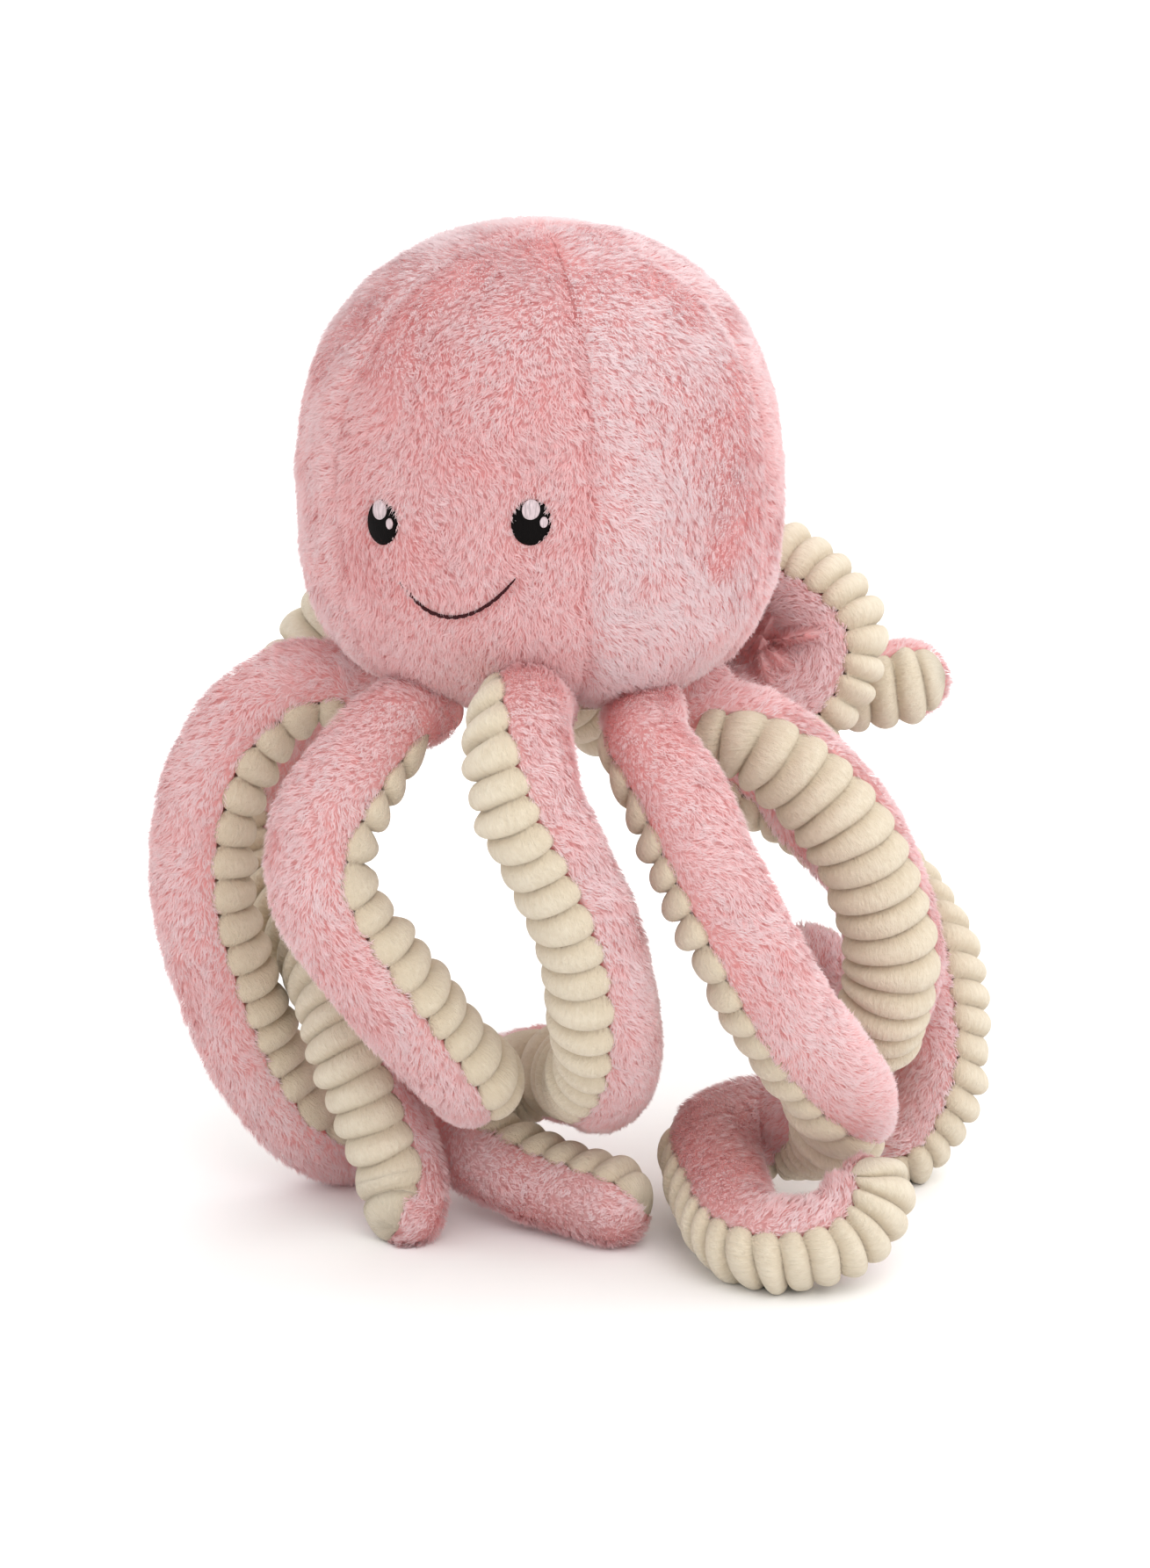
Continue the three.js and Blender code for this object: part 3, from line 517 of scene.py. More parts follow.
for number, name in enumerate(GORES):
    edges = GORE_EDGES[number], GORE_EDGES[number + 1]
    rows = np.linspace(head_high, head_low, GORE_ROWS)
    columns = np.linspace(edges[0] + GORE_MARGIN, edges[1] - GORE_MARGIN, GORE_COLUMNS)
    azimuth, angle = np.meshgrid(columns, rows)
    outside = head_cloth(azimuth, angle)
    inside = head_place(azimuth, angle, -CLOTH_INSET - SEAM_DEPTH - CLOTH_THICKNESS)
    rings = np.concatenate([outside, inside[:, ::-1]], axis=1)
    u, v = sown(head_cloth, edges, (head_low, head_high), 20 + number)
    roots, normals, upward, _ = skin(head_cloth, u, v, SMALL_STEP)
    seam = from_seam(u, v)
    turn = swirls(roots, GORE_SWIRLS, 31)
    turn += SEAM_TURN * np.sign(seam) * np.exp(-np.abs(seam) / SEAM_TURN_REACH)
    flow = -upward * np.cos(turn)[:, None] + np.cross(upward, normals) * np.sin(turn)[:, None]
    length = PILE_LENGTH * (1 + patches(roots, LENGTH_PATCHES, 33))
    if name == "face":
        clear = from_stitches(u, roots[:, 2] - FOOT[2])
        length = length * np.clip(CLIPPED_SHARES[1] + clear / CLIPPED_REACH, CLIPPED_SHARES[0], 1)
        kept = clear > -STITCH_OVERLAP
        roots, normals, flow, length, seam = (each[kept] for each in (roots, normals, flow, length, seam))
    # Painted light and shade by gore and on the crown, and painted shade along each seam.
    tone = GORE_PAINTED_LIGHT.get(name, OTHER_GORES_PAINTED_LIGHT) + SEAM_PAINTED_SHADE * np.exp(-((seam / SEAM_PAINTED_SHADE_REACH) ** 2))
    over_floor = roots[:, 2] - FOOT[2]
    tone += CROWN_PAINTED_LIGHT * smooth(over_floor, HEAD_TOP - CROWN_PAINTED_LIGHT_FADE[0], HEAD_TOP - CROWN_PAINTED_LIGHT_FADE[1])
    pile = strands(roots, normals, flow, length, tone, 40 + number)
    gore = add_plush("plush_" + name, rings, pile, 60 + number)
    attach(gore, "head")
    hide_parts("gore_" + name)

# Head filling
#
# Loose fibre packed into the gores. It is closed in on every side, so only a cut toy would show it.

FILLING_INSET = 0.0145
FILLING_TOP_GAP = 0.05
FILLING_LOWEST = -0.32
FILLING_ROWS = 40
ROUND_COLUMNS = 64
FIBRE = (0.90, 0.89, 0.86, 1)
FIBRE_SHADOW = 0.82
FIBRE_SCALE = 260.0
FIBRE_RELIEF = 0.001


def tinted(colour, share):
    """A colour times a share, still opaque."""
    return tuple(share * part for part in colour[:3]) + (1,)


def fibre_material(name):
    """White fibre, mottled by fine noise on object coordinates."""
    material, nodes, links, shader = plain_material(name, rough=1.0, specular=0.5)
    place = nodes.new("ShaderNodeTexCoord")
    noise = add_noise(nodes, links, place.outputs["Object"], FIBRE_SCALE, detail=5)
    mottled = add_ramp(nodes, links, noise, ((0.0, tinted(FIBRE, FIBRE_SHADOW)), (1.0, FIBRE)))
    links.new(mottled, shader.inputs["Base Color"])
    add_relief(nodes, links, shader, noise, 1.0, FIBRE_RELIEF)
    return material


rows = np.linspace(0.5 * math.pi - FILLING_TOP_GAP, FILLING_LOWEST * math.pi, FILLING_ROWS)
columns = np.linspace(0, 360, ROUND_COLUMNS, endpoint=False)
azimuth, angle = np.meshgrid(columns, rows)
ball = head_place(azimuth, angle, -FILLING_INSET)
stuffing = add_piece("stuffing", ball, closed_rings(ball), fibre_material("white fibre"))
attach(stuffing, "head")
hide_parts("head_filling")

# Base patch
#
# A round of cream short-pile cloth that closes the head underneath. The stuffing presses it flat in the
# middle, and it rises to its seam with the gores.

PATCH_FLAT_LEVEL = 0.2592
PATCH_INSET = 0.0006
PATCH_THICKNESS = 0.008
PATCH_ROWS = 22
PATCH_OPENING = 0.02
PATCH_PUFF = 0.72
PATCH_MOTTLING = (0.004, 0.1)

CREAM_STOPS = (
    (0.20, (0.47, 0.345, 0.235, 1)), (0.50, (0.73, 0.62, 0.465, 1)), (0.85, (0.85, 0.755, 0.60, 1)),
)
NAP_SHEEN = 0.3
NAP_SCALE = 520.0
NAP_GRAIN = 0.78
NAP_COMBED = (1.0, 0.42, 1.0)
NAP_RELIEF = 0.0018
NAP_BROAD_SCALE = 90.0
# The cream's tone is the nap, plus these shares of the puff, which paints shade into the seams, and of the
# broad noise, times the spread.
RIB_SEAM_PAINTED_SHADE_SHARE = 0.5
BROAD_SHARE = 0.30
CREAM_SPREAD = 0.62


def nap_material(name):
    """Short cream pile with painted shade in the seams, where the mesh's "puff" is low. The nap mottles it,
    combed along the strip as the mesh's "lie" runs."""
    material, nodes, links, shader = plain_material(name, rough=0.95, specular=0.1)
    shader.inputs["Sheen Weight"].default_value = NAP_SHEEN
    shader.inputs["Sheen Roughness"].default_value = 0.5
    place = nodes.new("ShaderNodeTexCoord")
    puff, lie = nodes.new("ShaderNodeAttribute"), nodes.new("ShaderNodeAttribute")
    puff.attribute_name, lie.attribute_name = "puff", "lie"
    comb = nodes.new("ShaderNodeMapping")
    comb.inputs["Scale"].default_value = NAP_COMBED
    links.new(lie.outputs["Vector"], comb.inputs["Vector"])
    fine = add_noise(nodes, links, comb.outputs["Vector"], NAP_SCALE, detail=4, rough=NAP_GRAIN)
    broad = add_noise(nodes, links, place.outputs["Object"], NAP_BROAD_SCALE, detail=2)
    # Painted shade: the cream is darker where the puff is low, in the seams.
    nap_and_painted_seam_shade = add_sum(nodes, links, puff.outputs["Fac"], RIB_SEAM_PAINTED_SHADE_SHARE, fine)
    tone = add_sum(nodes, links, broad, BROAD_SHARE, nap_and_painted_seam_shade)
    spread = add_sum(nodes, links, tone, CREAM_SPREAD)
    cream = add_ramp(nodes, links, spread, CREAM_STOPS, "EASE")
    links.new(cream, shader.inputs["Base Color"])
    add_relief(nodes, links, shader, fine, 1.0, NAP_RELIEF)
    return material


def set_nap(piece, puff, lie):
    """Stores on a mesh what the cream reads: how far the cloth stands out, from 0 in a seam to 1, and the
    place on the cloth laid flat, in metres across the strip and along it."""
    layer = piece.data.attributes.new("puff", "FLOAT", "POINT")
    layer.data.foreach_set("value", puff.astype(np.float32).ravel())
    layer = piece.data.attributes.new("lie", "FLOAT_VECTOR", "POINT")
    layer.data.foreach_set("vector", lie.astype(np.float32).ravel())


cream_nap = nap_material("cream nap")

outward_angles = np.linspace(-0.5 * math.pi + PATCH_OPENING, head_low, PATCH_ROWS)
lifts = np.repeat([-PATCH_INSET, -PATCH_THICKNESS], PATCH_ROWS)
azimuth, angle = np.meshgrid(columns, np.concatenate([outward_angles, outward_angles[::-1]]))
disc = head_place(azimuth, angle, lifts[:, None])
least = FOOT[2] + PATCH_FLAT_LEVEL + np.repeat([0, PATCH_THICKNESS], PATCH_ROWS)
disc[:, :, 2] = np.maximum(disc[:, :, 2], least[:, None])
patch = add_piece("underside_patch", disc, closed_rings(disc), cream_nap)
set_nap(patch, PATCH_PUFF + patches(disc, PATCH_MOTTLING, 71), disc - FOOT)
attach(patch, "head")
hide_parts("base_patch")

# Arms
#
# Eight sleeves of the same pink plush, stuffed and sewn to the head at the root. Each narrows to a round
# tip and curls its own way along a middle line. A cream strip closes its underside.

HEAD_WIDTH = 0.236
ARM_RADIUS = 0.025
NECK_RADIUS = 0.019
TIP_RADIUS = 0.0215
SWELL_LENGTH = 0.090
SLIMMING_SHARE = 0.6
KNUCKLE_RING = 0.070
RIB_PITCH = 0.013
STRIP_HALF_ANGLE = 74
TIP_HALF_ANGLE = 78
LINE_SAMPLES = 80
LINE_STEP = 0.0005
SLEEVE_COLUMNS = 40
SLEEVE_STEP = 0.003
SLEEVE_SMALL_STEP = 1e-6
STRIP_OPENING = (-0.010, 0.003)
PLEAT_DEPTH = 0.0015
PLEAT_PITCH = 0.014
PLEATED_BENDS = (0.35, 0.8)

# A bend is the arm's radius over the curl's: 1 where the curl's inside would be a point.
CURLED_SHUT = {"back_right": 0.0105}
CLOSING_BENDS = (0.30, 0.62)
CLOSING_SHARE = 0.82
CURLED_BENDS = (0.30, 0.6)
CURL_HEART = (0.62, 0.78)

PILE_ENDS = (0.004, 0.0004)
FOLDED_AWAY = 0.2
UNDER_HEAD = 0.9
ARM_SWIRLS = ((0.045, 0.7), (0.018, 0.75))
ARM_LENGTH_PATCHES = (0.014, 0.2)
SHORT_EDGE = 0.55
SHORT_EDGE_REACH = 0.011
INTO_CURL = 3
CURL_SHORTENING = 0.72
# Painted light: the arms' pile is paler overall.
ARM_PAINTED_LIGHT = 0.14
# Painted shade: the pile is deeper pink inside a tight curl, waving with its pleats and most at the curl's
# heart.
CURL_PAINTED_SHADE = 0.16
PLEAT_PAINTED_SHADE = 0.16
CURL_HEART_PAINTED_SHADE = 0.12

# Where each arm's middle line runs from its knuckle: azimuth in degrees, reach from the head's axis and
# height over the floor as shares of the head's width, then the azimuth and tilt that the strip faces.
# Before them stand the root's azimuth and how steeply the arm leaves it: 1 hangs down, 0 is level.
ARMS = (
    ("left_front", -67.5, 1.0, (
        (-68, 0.4, 1.12, 112, -70), (-68, 0.52, 1.1, 112, -60), (-67, 0.64, 0.99, 115, -30),
        (-65, 0.7, 0.84, 120, -8), (-64, 0.71, 0.67, 120, 0), (-64, 0.67, 0.5, 120, 10),
        (-66, 0.6, 0.3, 120, 25), (-68, 0.51, 0.16, 120, 45), (-76, 0.42, 0.089, 130, 65),
        (-92, 0.365, 0.08, 150, 75),
    )),
    ("front_left", -22.5, 1.0, (
        (-22, 0.42, 1.11, 150, -60), (-23, 0.54, 1.02, 144, -35), (-24, 0.61, 0.92, 138, -15),
        (-23, 0.63, 0.82, 132, 0), (-20, 0.6, 0.72, 128, 20), (-15, 0.56, 0.63, 125, 30),
        (-9, 0.5, 0.525, 122, 30), (0, 0.4, 0.38, 112, 20), (-6, 0.31, 0.345, 112, 5),
        (-23, 0.23, 0.36, 112, 0),
    )),
    ("front_right", 22.5, 1.0, (
        (19, 0.39, 1.17, -62, -20), (18, 0.48, 1.18, -62, -18), (18, 0.56, 1.13, -56, -14),
        (20, 0.6, 1.03, -46, -8), (25, 0.6, 0.91, -41, 0), (31, 0.59, 0.76, -40, 0),
        (35, 0.56, 0.61, -42, 5), (39, 0.47, 0.46, -50, 12), (44, 0.32, 0.35, -62, 18),
        (56, 0.18, 0.3, -66, 20), (94, 0.08, 0.265, -60, 18), (-158, 0.08, 0.235, 10, 15),
        (-108, 0.14, 0.2, 55, 18), (-71, 0.175, 0.17, 92, 22), (-38, 0.178, 0.14, 120, 28),
        (4, 0.19, 0.11, 145, 36), (39, 0.29, 0.091, 165, 45), (52, 0.42, 0.084, 170, 45),
    )),
    ("right_front", 67.5, 1.0, (
        (52, 0.42, 1.08, -112, -60), (53, 0.52, 1.0, -105, -35), (55, 0.6, 0.87, -95, -22),
        (59, 0.66, 0.73, -90, -20), (65, 0.69, 0.585, -92, -24), (74, 0.71, 0.44, -98, -38),
        (83, 0.71, 0.32, -108, -55), (93, 0.63, 0.225, -130, -72), (101, 0.52, 0.185, -150, -62),
        (99, 0.425, 0.17, -130, -55), (88, 0.395, 0.16, -100, -52), (76, 0.44, 0.143, -80, -50),
        (68, 0.52, 0.126, -65, -48), (62, 0.605, 0.107, -42, -46), (61, 0.71, 0.097, -8, -45),
        (65, 0.79, 0.104, 22, -42), (70, 0.83, 0.135, 45, -35), (74, 0.84, 0.2, 58, -15),
        (75, 0.82, 0.25, 60, 5),
    )),
    ("right_back", 112.5, 1.0, (
        (105, 0.34, 1.07, 22, -60), (101, 0.46, 1.02, 20, -30), (101, 0.56, 0.94, 18, -18),
        (101, 0.65, 0.835, 15, -10), (102, 0.71, 0.695, 12, -4), (103, 0.74, 0.555, 12, 0),
        (105, 0.72, 0.445, 16, -15), (111, 0.69, 0.37, 20, -60), (120, 0.64, 0.36, -160, -70),
        (127, 0.6, 0.43, -158, -15), (128, 0.58, 0.53, -155, 5),
    )),
    ("back_right", 157.5, 0.0, (
        (157, 0.37, 1.04, 60, -80), (149, 0.45, 0.985, 95, -80), (140, 0.56, 0.98, 112, -72),
        (137, 0.64, 1.03, 112, -35), (138, 0.69, 1.13, 112, 5), (143, 0.66, 1.22, 112, 50),
        (152, 0.61, 1.255, 112, 85), (163, 0.58, 1.21, -68, 45), (167, 0.6, 1.1, -68, -5),
        (164, 0.66, 1.01, -68, -55), (157, 0.73, 0.975, -30, -80), (150, 0.81, 0.975, 22, -45),
        (145, 0.9, 0.985, 22, -15), (141, 1.0, 1.005, 22, 5),
    )),
    ("back_left", -157.5, 1.0, (
        (-161, 0.45, 1.03, 20, -80), (-174, 0.6, 0.905, 20, -78), (173, 0.72, 0.8, 60, -75),
        (159, 0.8, 0.71, 105, -65), (148, 0.82, 0.63, 115, -45), (137, 0.84, 0.54, 112, -25),
        (128, 0.86, 0.44, 112, -8), (123, 0.87, 0.33, 112, 0), (119, 0.85, 0.21, 108, -22),
        (117, 0.79, 0.102, 98, -50), (115, 0.7, 0.05, 60, -70),
    )),
    ("left_back", -112.5, 1.0, (
        (-119, 0.44, 1.15, -31, -65), (-121, 0.54, 1.18, -31, -40), (-120, 0.62, 1.15, -34, -15),
        (-116, 0.68, 1.06, -38, 0), (-107, 0.7, 0.92, -44, 0), (-98, 0.69, 0.77, -46, 0),
        (-91, 0.62, 0.62, -40, 0), (-80, 0.475, 0.535, -30, 0), (-59, 0.42, 0.48, -18, 0),
        (-46, 0.42, 0.4, -14, -5), (-37, 0.41, 0.3, -11, -10), (-31, 0.395, 0.21, -11, -12),
        (-26, 0.385, 0.125, -20, -5), (-21, 0.415, 0.061, -30, 5), (-18, 0.46, 0.044, -40, 10),
    )),
)


def outward(azimuth):
    turn = np.radians(azimuth)
    return np.stack([np.sin(turn), -np.cos(turn), 0 * turn], axis=-1)


def middle_line(root, rows):
    """An arm's middle line at even steps: distance, place, heading, the way the strip faces, and how the
    line bends. Between two places it is the cubic a + bt + ct^2 + dt^3 that meets both, with tangents
    from the places around them, spaced by the square root of their distance."""
    azimuth, reach, height, side_azimuth, side_tilt = np.array(rows, float).T
    up = np.array([0, 0, 1.0])
    stops = FOOT + outward(azimuth) * reach[:, None] * HEAD_WIDTH + up * height[:, None] * HEAD_WIDTH
    knuckle = FOOT + outward(root) * KNUCKLE_RING + up * KNUCKLE_HEIGHT
    stops = np.vstack([knuckle, stops])
    lean = np.radians(side_tilt)[:, None]
    sides = outward(side_azimuth) * np.cos(lean) + up * np.sin(lean)
    sides = np.vstack([sides[:1], sides])
    stops = np.vstack([2 * stops[0] - stops[1], stops, 2 * stops[-1] - stops[-2]])
    gaps = np.linalg.norm(np.diff(stops, axis=0), axis=1)[:, None, None] ** 0.5
    p0, p1, p2, p3 = (stops[i : len(stops) - 3 + i, None] for i in range(4))
    d0, d1, d2 = (gaps[i : len(gaps) - 2 + i] for i in range(3))
    start = ((p1 - p0) / d0 - (p2 - p0) / (d0 + d1) + (p2 - p1) / d1) * d1
    end = ((p2 - p1) / d1 - (p3 - p1) / (d1 + d2) + (p3 - p2) / d2) * d1
    t = np.linspace(0, 1, LINE_SAMPLES, endpoint=False)[:, None]
    squared, cubed = 3 * (p2 - p1) - 2 * start - end, 2 * (p1 - p2) + start + end
    curve = p1 + start * t + squared * t**2 + cubed * t**3
    curve = np.vstack([curve.reshape(-1, 3), stops[-2]])
    spot = np.append((np.arange(len(p1))[:, None] + t.ravel()).ravel(), len(p1))
    run = np.append(0, np.cumsum(np.linalg.norm(np.diff(curve, axis=0), axis=1)))
    distance = np.linspace(0, run[-1], int(run[-1] / LINE_STEP))
    spot = np.interp(distance, run, spot)
    place = np.stack([np.interp(distance, run, axis) for axis in curve.T], axis=-1)
    heading = unit(np.gradient(place, distance, axis=0))
    before = np.minimum(spot.astype(int), len(sides) - 2)
    side = sides[before] + (sides[before + 1] - sides[before]) * (spot - before)[:, None]
    side = unit(side - heading * np.sum(side * heading, axis=-1, keepdims=True))
    return distance, place, heading, side, np.gradient(heading, distance, axis=0)


def leaving(root, lean):
    """The way an arm points as it leaves the head."""
    return unit(outward(root) - (0, 0, lean))


def arm_radius(distance, length):
    """The arm swells from its neck, slims towards its end and closes at its tip by the square root of
    1 - (1 - t)^2, a quarter of an oval."""
    full = NECK_RADIUS + (ARM_RADIUS - NECK_RADIUS) * smooth(distance, 0, SWELL_LENGTH)
    slim = smooth(distance, length * SLIMMING_SHARE, length - TIP_RADIUS)
    to_tip = np.clip((length - distance) / TIP_RADIUS, 0.0, 1)
    return (full + (TIP_RADIUS - full) * slim) * np.sqrt(np.maximum(1 - (1 - to_tip) ** 2, 1e-5))


def strip_edge(distance, length):
    """Half the angle that the cream strip covers, wider at the tip."""
    wider = (TIP_HALF_ANGLE - STRIP_HALF_ANGLE) * smooth(distance, length - 2 * RIB_PITCH, length)
    return np.radians(STRIP_HALF_ANGLE + wider)


def along_line(line, part, distance):
    """One part of a middle line, as middle_line returns them, at these distances."""
    return np.stack([np.interp(distance, line[0], axis) for axis in line[part].T], axis=-1)


def on_arm(line, angle, distance, swell):
    """A place on an arm: its middle line plus a circle about it, angle 0 facing as the strip does. Swell
    is added to the radius, and takes the distance, the radius and the bend towards there."""
    centre, ahead, sideways, bend = (along_line(line, part, distance) for part in (1, 2, 3, 4))
    ahead = unit(ahead)
    sideways = unit(sideways - ahead * np.sum(sideways * ahead, axis=-1, keepdims=True))
    across = np.cross(ahead, sideways)
    ray = sideways * np.cos(angle)[..., None] + across * np.sin(angle)[..., None]
    radius = arm_radius(distance, line[0][-1])
    inner = np.sum(bend * ray, axis=-1) * radius
    return centre + ray * (radius + swell(distance, radius, inner))[..., None]


def head_share(places):
    """(r/R)^n + (h/H)^n for the head's form: under 1 inside it."""
    away = places - FOOT
    tall, power = head_half(away[:, 2] > HEAD_WIDEST)
    radius = np.hypot(away[:, 0], away[:, 1])
    return (radius / HEAD_RADIUS) ** power + (np.abs(away[:, 2] - HEAD_WIDEST) / tall) ** power


def pleats(distance):
    """Waves along an arm, from 0 to 1."""
    return 0.5 - 0.5 * np.cos(2 * math.pi * distance / PLEAT_PITCH)


def plush_swell(distance, radius, inner):
    """The sleeve's cloth lies under its pile, and gathers in pleats on the inside of a tight curl."""
    depth = PLEAT_DEPTH * (1 - pleats(distance)) * smooth(inner, *PLEATED_BENDS)
    return -CLOTH_INSET * radius / ARM_RADIUS - depth


def rib_start(length):
    """Where the strip begins: at the second of the even rib pitches that the arm's length is split into."""
    return 2 * length / round(length / RIB_PITCH)


def sleeve_angle(share, distance, length):
    """The angle at a share of the way from one edge of an arm's strip, by the back, to the other, and
    that of the edge."""
    start = rib_start(length)
    opened = smooth(distance, start + STRIP_OPENING[0], start + STRIP_OPENING[1])
    edge = strip_edge(distance, length) * opened
    return edge + (2 * math.pi - 2 * edge) * share, edge


for number, (name, root, lean, rows) in enumerate(ARMS):
    line = middle_line(root, rows)
    length = line[0][-1]
    shut = CURLED_SHUT.get(name, 0)

    def swell(distance, radius, inner):
        room = CLOSING_SHARE * radius * (1 / np.maximum(inner, CLOSING_BENDS[0]) - 1)
        closing = np.minimum(shut * smooth(inner, *CLOSING_BENDS), np.maximum(room, 0))
        return plush_swell(distance, radius, inner) + closing

    def sleeve(share, distance):
        return on_arm(line, sleeve_angle(share, distance, length)[0], distance, swell)

    stops = np.append(np.arange(0, length, SLEEVE_STEP), length)
    shares, distances = np.meshgrid(np.linspace(0, 1, SLEEVE_COLUMNS), stops)
    rings = sleeve(shares, distances)
    u, v = sown(sleeve, (0, 1), (PILE_ENDS[0], length - PILE_ENDS[1]), 80 + number)
    roots, normals, ahead, _ = skin(sleeve, u, v, SLEEVE_SMALL_STEP)
    edge = sleeve_angle(u, v, length)[1]
    outwards = unit(roots - along_line(line, 1, v))
    kept = (np.sum(normals * outwards, axis=-1) > FOLDED_AWAY) & (head_share(roots) > UNDER_HEAD)
    every = roots, normals, ahead, u, v, edge, outwards
    roots, normals, ahead, u, v, edge, outwards = (each[kept] for each in every)
    radius = arm_radius(v, length)
    from_edge = np.minimum(u, 1 - u) * (2 * math.pi - 2 * edge) * radius
    turn = swirls(roots, ARM_SWIRLS, 91)
    flow = ahead * np.cos(turn)[:, None] + np.cross(ahead, normals) * np.sin(turn)[:, None]
    bend = along_line(line, 4, v)
    inner = np.sum(bend * outwards, axis=-1) * radius
    curled = smooth(inner, *CURLED_BENDS) if shut else 0 * inner
    off_hole = -bend + normals * np.sum(bend * normals, axis=-1, keepdims=True)
    flow = unit(flow + unit(off_hole) * INTO_CURL * curled[:, None])
    size = PILE_LENGTH * (SHORT_EDGE + (1 - SHORT_EDGE) * smooth(from_edge, 0, SHORT_EDGE_REACH))
    size = size * (1 + patches(roots, ARM_LENGTH_PATCHES, 93)) * (1 - CURL_SHORTENING * curled)
    # Painted shade deepens the pile inside a tight curl; painted light pales the arm's pile.
    painted_curl_shade = CURL_PAINTED_SHADE + PLEAT_PAINTED_SHADE * pleats(v) + CURL_HEART_PAINTED_SHADE * smooth(inner, *CURL_HEART)
    tone = ARM_PAINTED_LIGHT - curled * painted_curl_shade
    pile = strands(roots, normals, flow, size, tone, 100 + number)
    plush = add_plush("plush_" + name, rings, pile, 120 + number)
    knuckle, direction = line[1][0], leaving(root, lean)
    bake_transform(plush)
    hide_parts("sleeve_" + name)

# Ribs
#
# A strip of cream short-pile cloth runs down each arm's underside. Cross seams divide it, and the filling
# puffs each field between them into a pad that is widest in the middle and tucks under the long pile.

RIB_FLOOR_SHARE = 0.88
RIB_PUFF_SHARE = 0.24
RIB_OVERHANG = 0.10
RIB_SPACING = 0.0142
RIB_SAMPLES = 12
RIB_COLUMNS = 30
RIB_CROWDING = (0.45, 1.7)
# Powers that lean a pad's crest to one side, shape its flanks, round it and shape its ends.
CREST_LEAN = 1.25
CREST_POWER = 2.2
CREST_ROUNDING = 0.6
END_POWER = 2.8
SEAM_WIDTH = 0.88
# Seams bow and waver by these shares of a pad, and pads are plumper or flatter by this share.
SEAM_BOW = 0.16
SEAM_WAVER = 0.10
WAVER_SCALE = (1.4, 0.6, 0)
PAD_PLUMPNESS = 0.28
PLUMP_SCALE = 0.9

for number, (name, root, lean, rows) in enumerate(ARMS):
    line = middle_line(root, rows)
    length = line[0][-1]
    inner = np.sum(line[4] * line[3], axis=-1) * arm_radius(line[0], length)
    started = line[0] >= rib_start(length)
    seam_run = np.cumsum(started * np.clip(1 - inner, *RIB_CROWDING)) * line[0][1]
    ribs = round(seam_run[-1] / RIB_SPACING)
    steps = np.linspace(0, ribs, ribs * RIB_SAMPLES + 1)
    q, t = np.meshgrid(np.linspace(-1, 1, RIB_COLUMNS), steps)
    flank = np.abs(2 * (t % 1) ** CREST_LEAN - 1)
    crest = np.maximum(1 - flank**CREST_POWER, 0) ** CREST_ROUNDING
    half_width = SEAM_WIDTH + (1 - SEAM_WIDTH) * crest
    puff = crest * np.sqrt(1 - np.minimum(np.abs(q) / half_width, 1) ** END_POWER)
    spot = np.stack([q, t, 0 * t], axis=-1)
    waver = drift(spot * WAVER_SCALE, 1.0, 140 + number)
    plump = drift(spot * PLUMP_SCALE, 1.0, 150 + number)
    fade = np.minimum(1, np.minimum(t, ribs - t))
    bowed = t + (SEAM_BOW * (1 - q**2) + SEAM_WAVER * waver) * fade
    seams = np.interp(bowed, seam_run[started] / seam_run[-1] * ribs, line[0][started])
    edge = strip_edge(seams, length) + RIB_OVERHANG * (2 * crest - 1)
    share = RIB_FLOOR_SHARE - 1 + RIB_PUFF_SHARE * puff * (1 + PAD_PLUMPNESS * plump)
    rings = on_arm(line, edge * q, seams, lambda distance, radius, inner: radius * share)
    rings[..., 2] = np.maximum(rings[..., 2], FLOOR_GAP)
    strip = add_piece("underside_" + name, rings, closed_rings(rings), cream_nap)
    set_nap(strip, puff, np.stack([edge * q * ARM_RADIUS, seams, 0 * t], axis=-1))
    knuckle, direction = line[1][0], leaving(root, lean)
    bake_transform(strip)
    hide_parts("ribs_" + name)

# Eyes
#
# Ovals of black satin stitch on the face gore, each with two white stitched highlights: a large one that
# opens through the top edge and a small one at the viewer's right. The pile stands round them.

# How far the back, the rim and the dome of each stand off the head's form.
EYE_LIFTS = (-0.0046, -0.0026, 0.0021)
GLINT_LIFTS = (-0.0012, -0.0007, 0.0006)
GLINT_SIZE = (0.0084, 0.0098)
GLINT_PLACE = (0, 0.0063)
SPARK_SIZE = (0.0038, 0.0052)
SPARK_PLACE = (0.0060, 0)
PAD_RINGS = 12
PAD_COLUMNS = 72
PAD_OPENING = 0.02
EYE_BLACK = (0.004, 0.003, 0.003, 1)
GLINT_WHITE = (0.60, 0.49, 0.51, 1)
THREAD_SCALE = 1700.0
THREAD_LEAN = 0.5
THREAD_DRAWN = (1.0, 1.0, 0.12)
THREAD_SHADES = ((0.3, 0.72), (0.7, 1.25))
THREAD_RELIEF = 0.0003


def thread_material(name, colour):
    """Satin stitches side by side: fine noise drawn out along the stitches, as tone and as relief."""
    material, nodes, links, shader = plain_material(name, rough=0.6, specular=0.06)
    place = nodes.new("ShaderNodeTexCoord")
    drawn = nodes.new("ShaderNodeMapping")
    drawn.inputs["Rotation"].default_value = (0, THREAD_LEAN, 0)
    drawn.inputs["Scale"].default_value = THREAD_DRAWN
    links.new(place.outputs["Object"], drawn.inputs["Vector"])
    noise = add_noise(nodes, links, drawn.outputs["Vector"], THREAD_SCALE, detail=2)
    stops = [(position, tinted(colour, shade)) for position, shade in THREAD_SHADES]
    links.new(add_ramp(nodes, links, noise, stops), shader.inputs["Base Color"])
    add_relief(nodes, links, shader, noise, 0.5, THREAD_RELIEF)
    return material


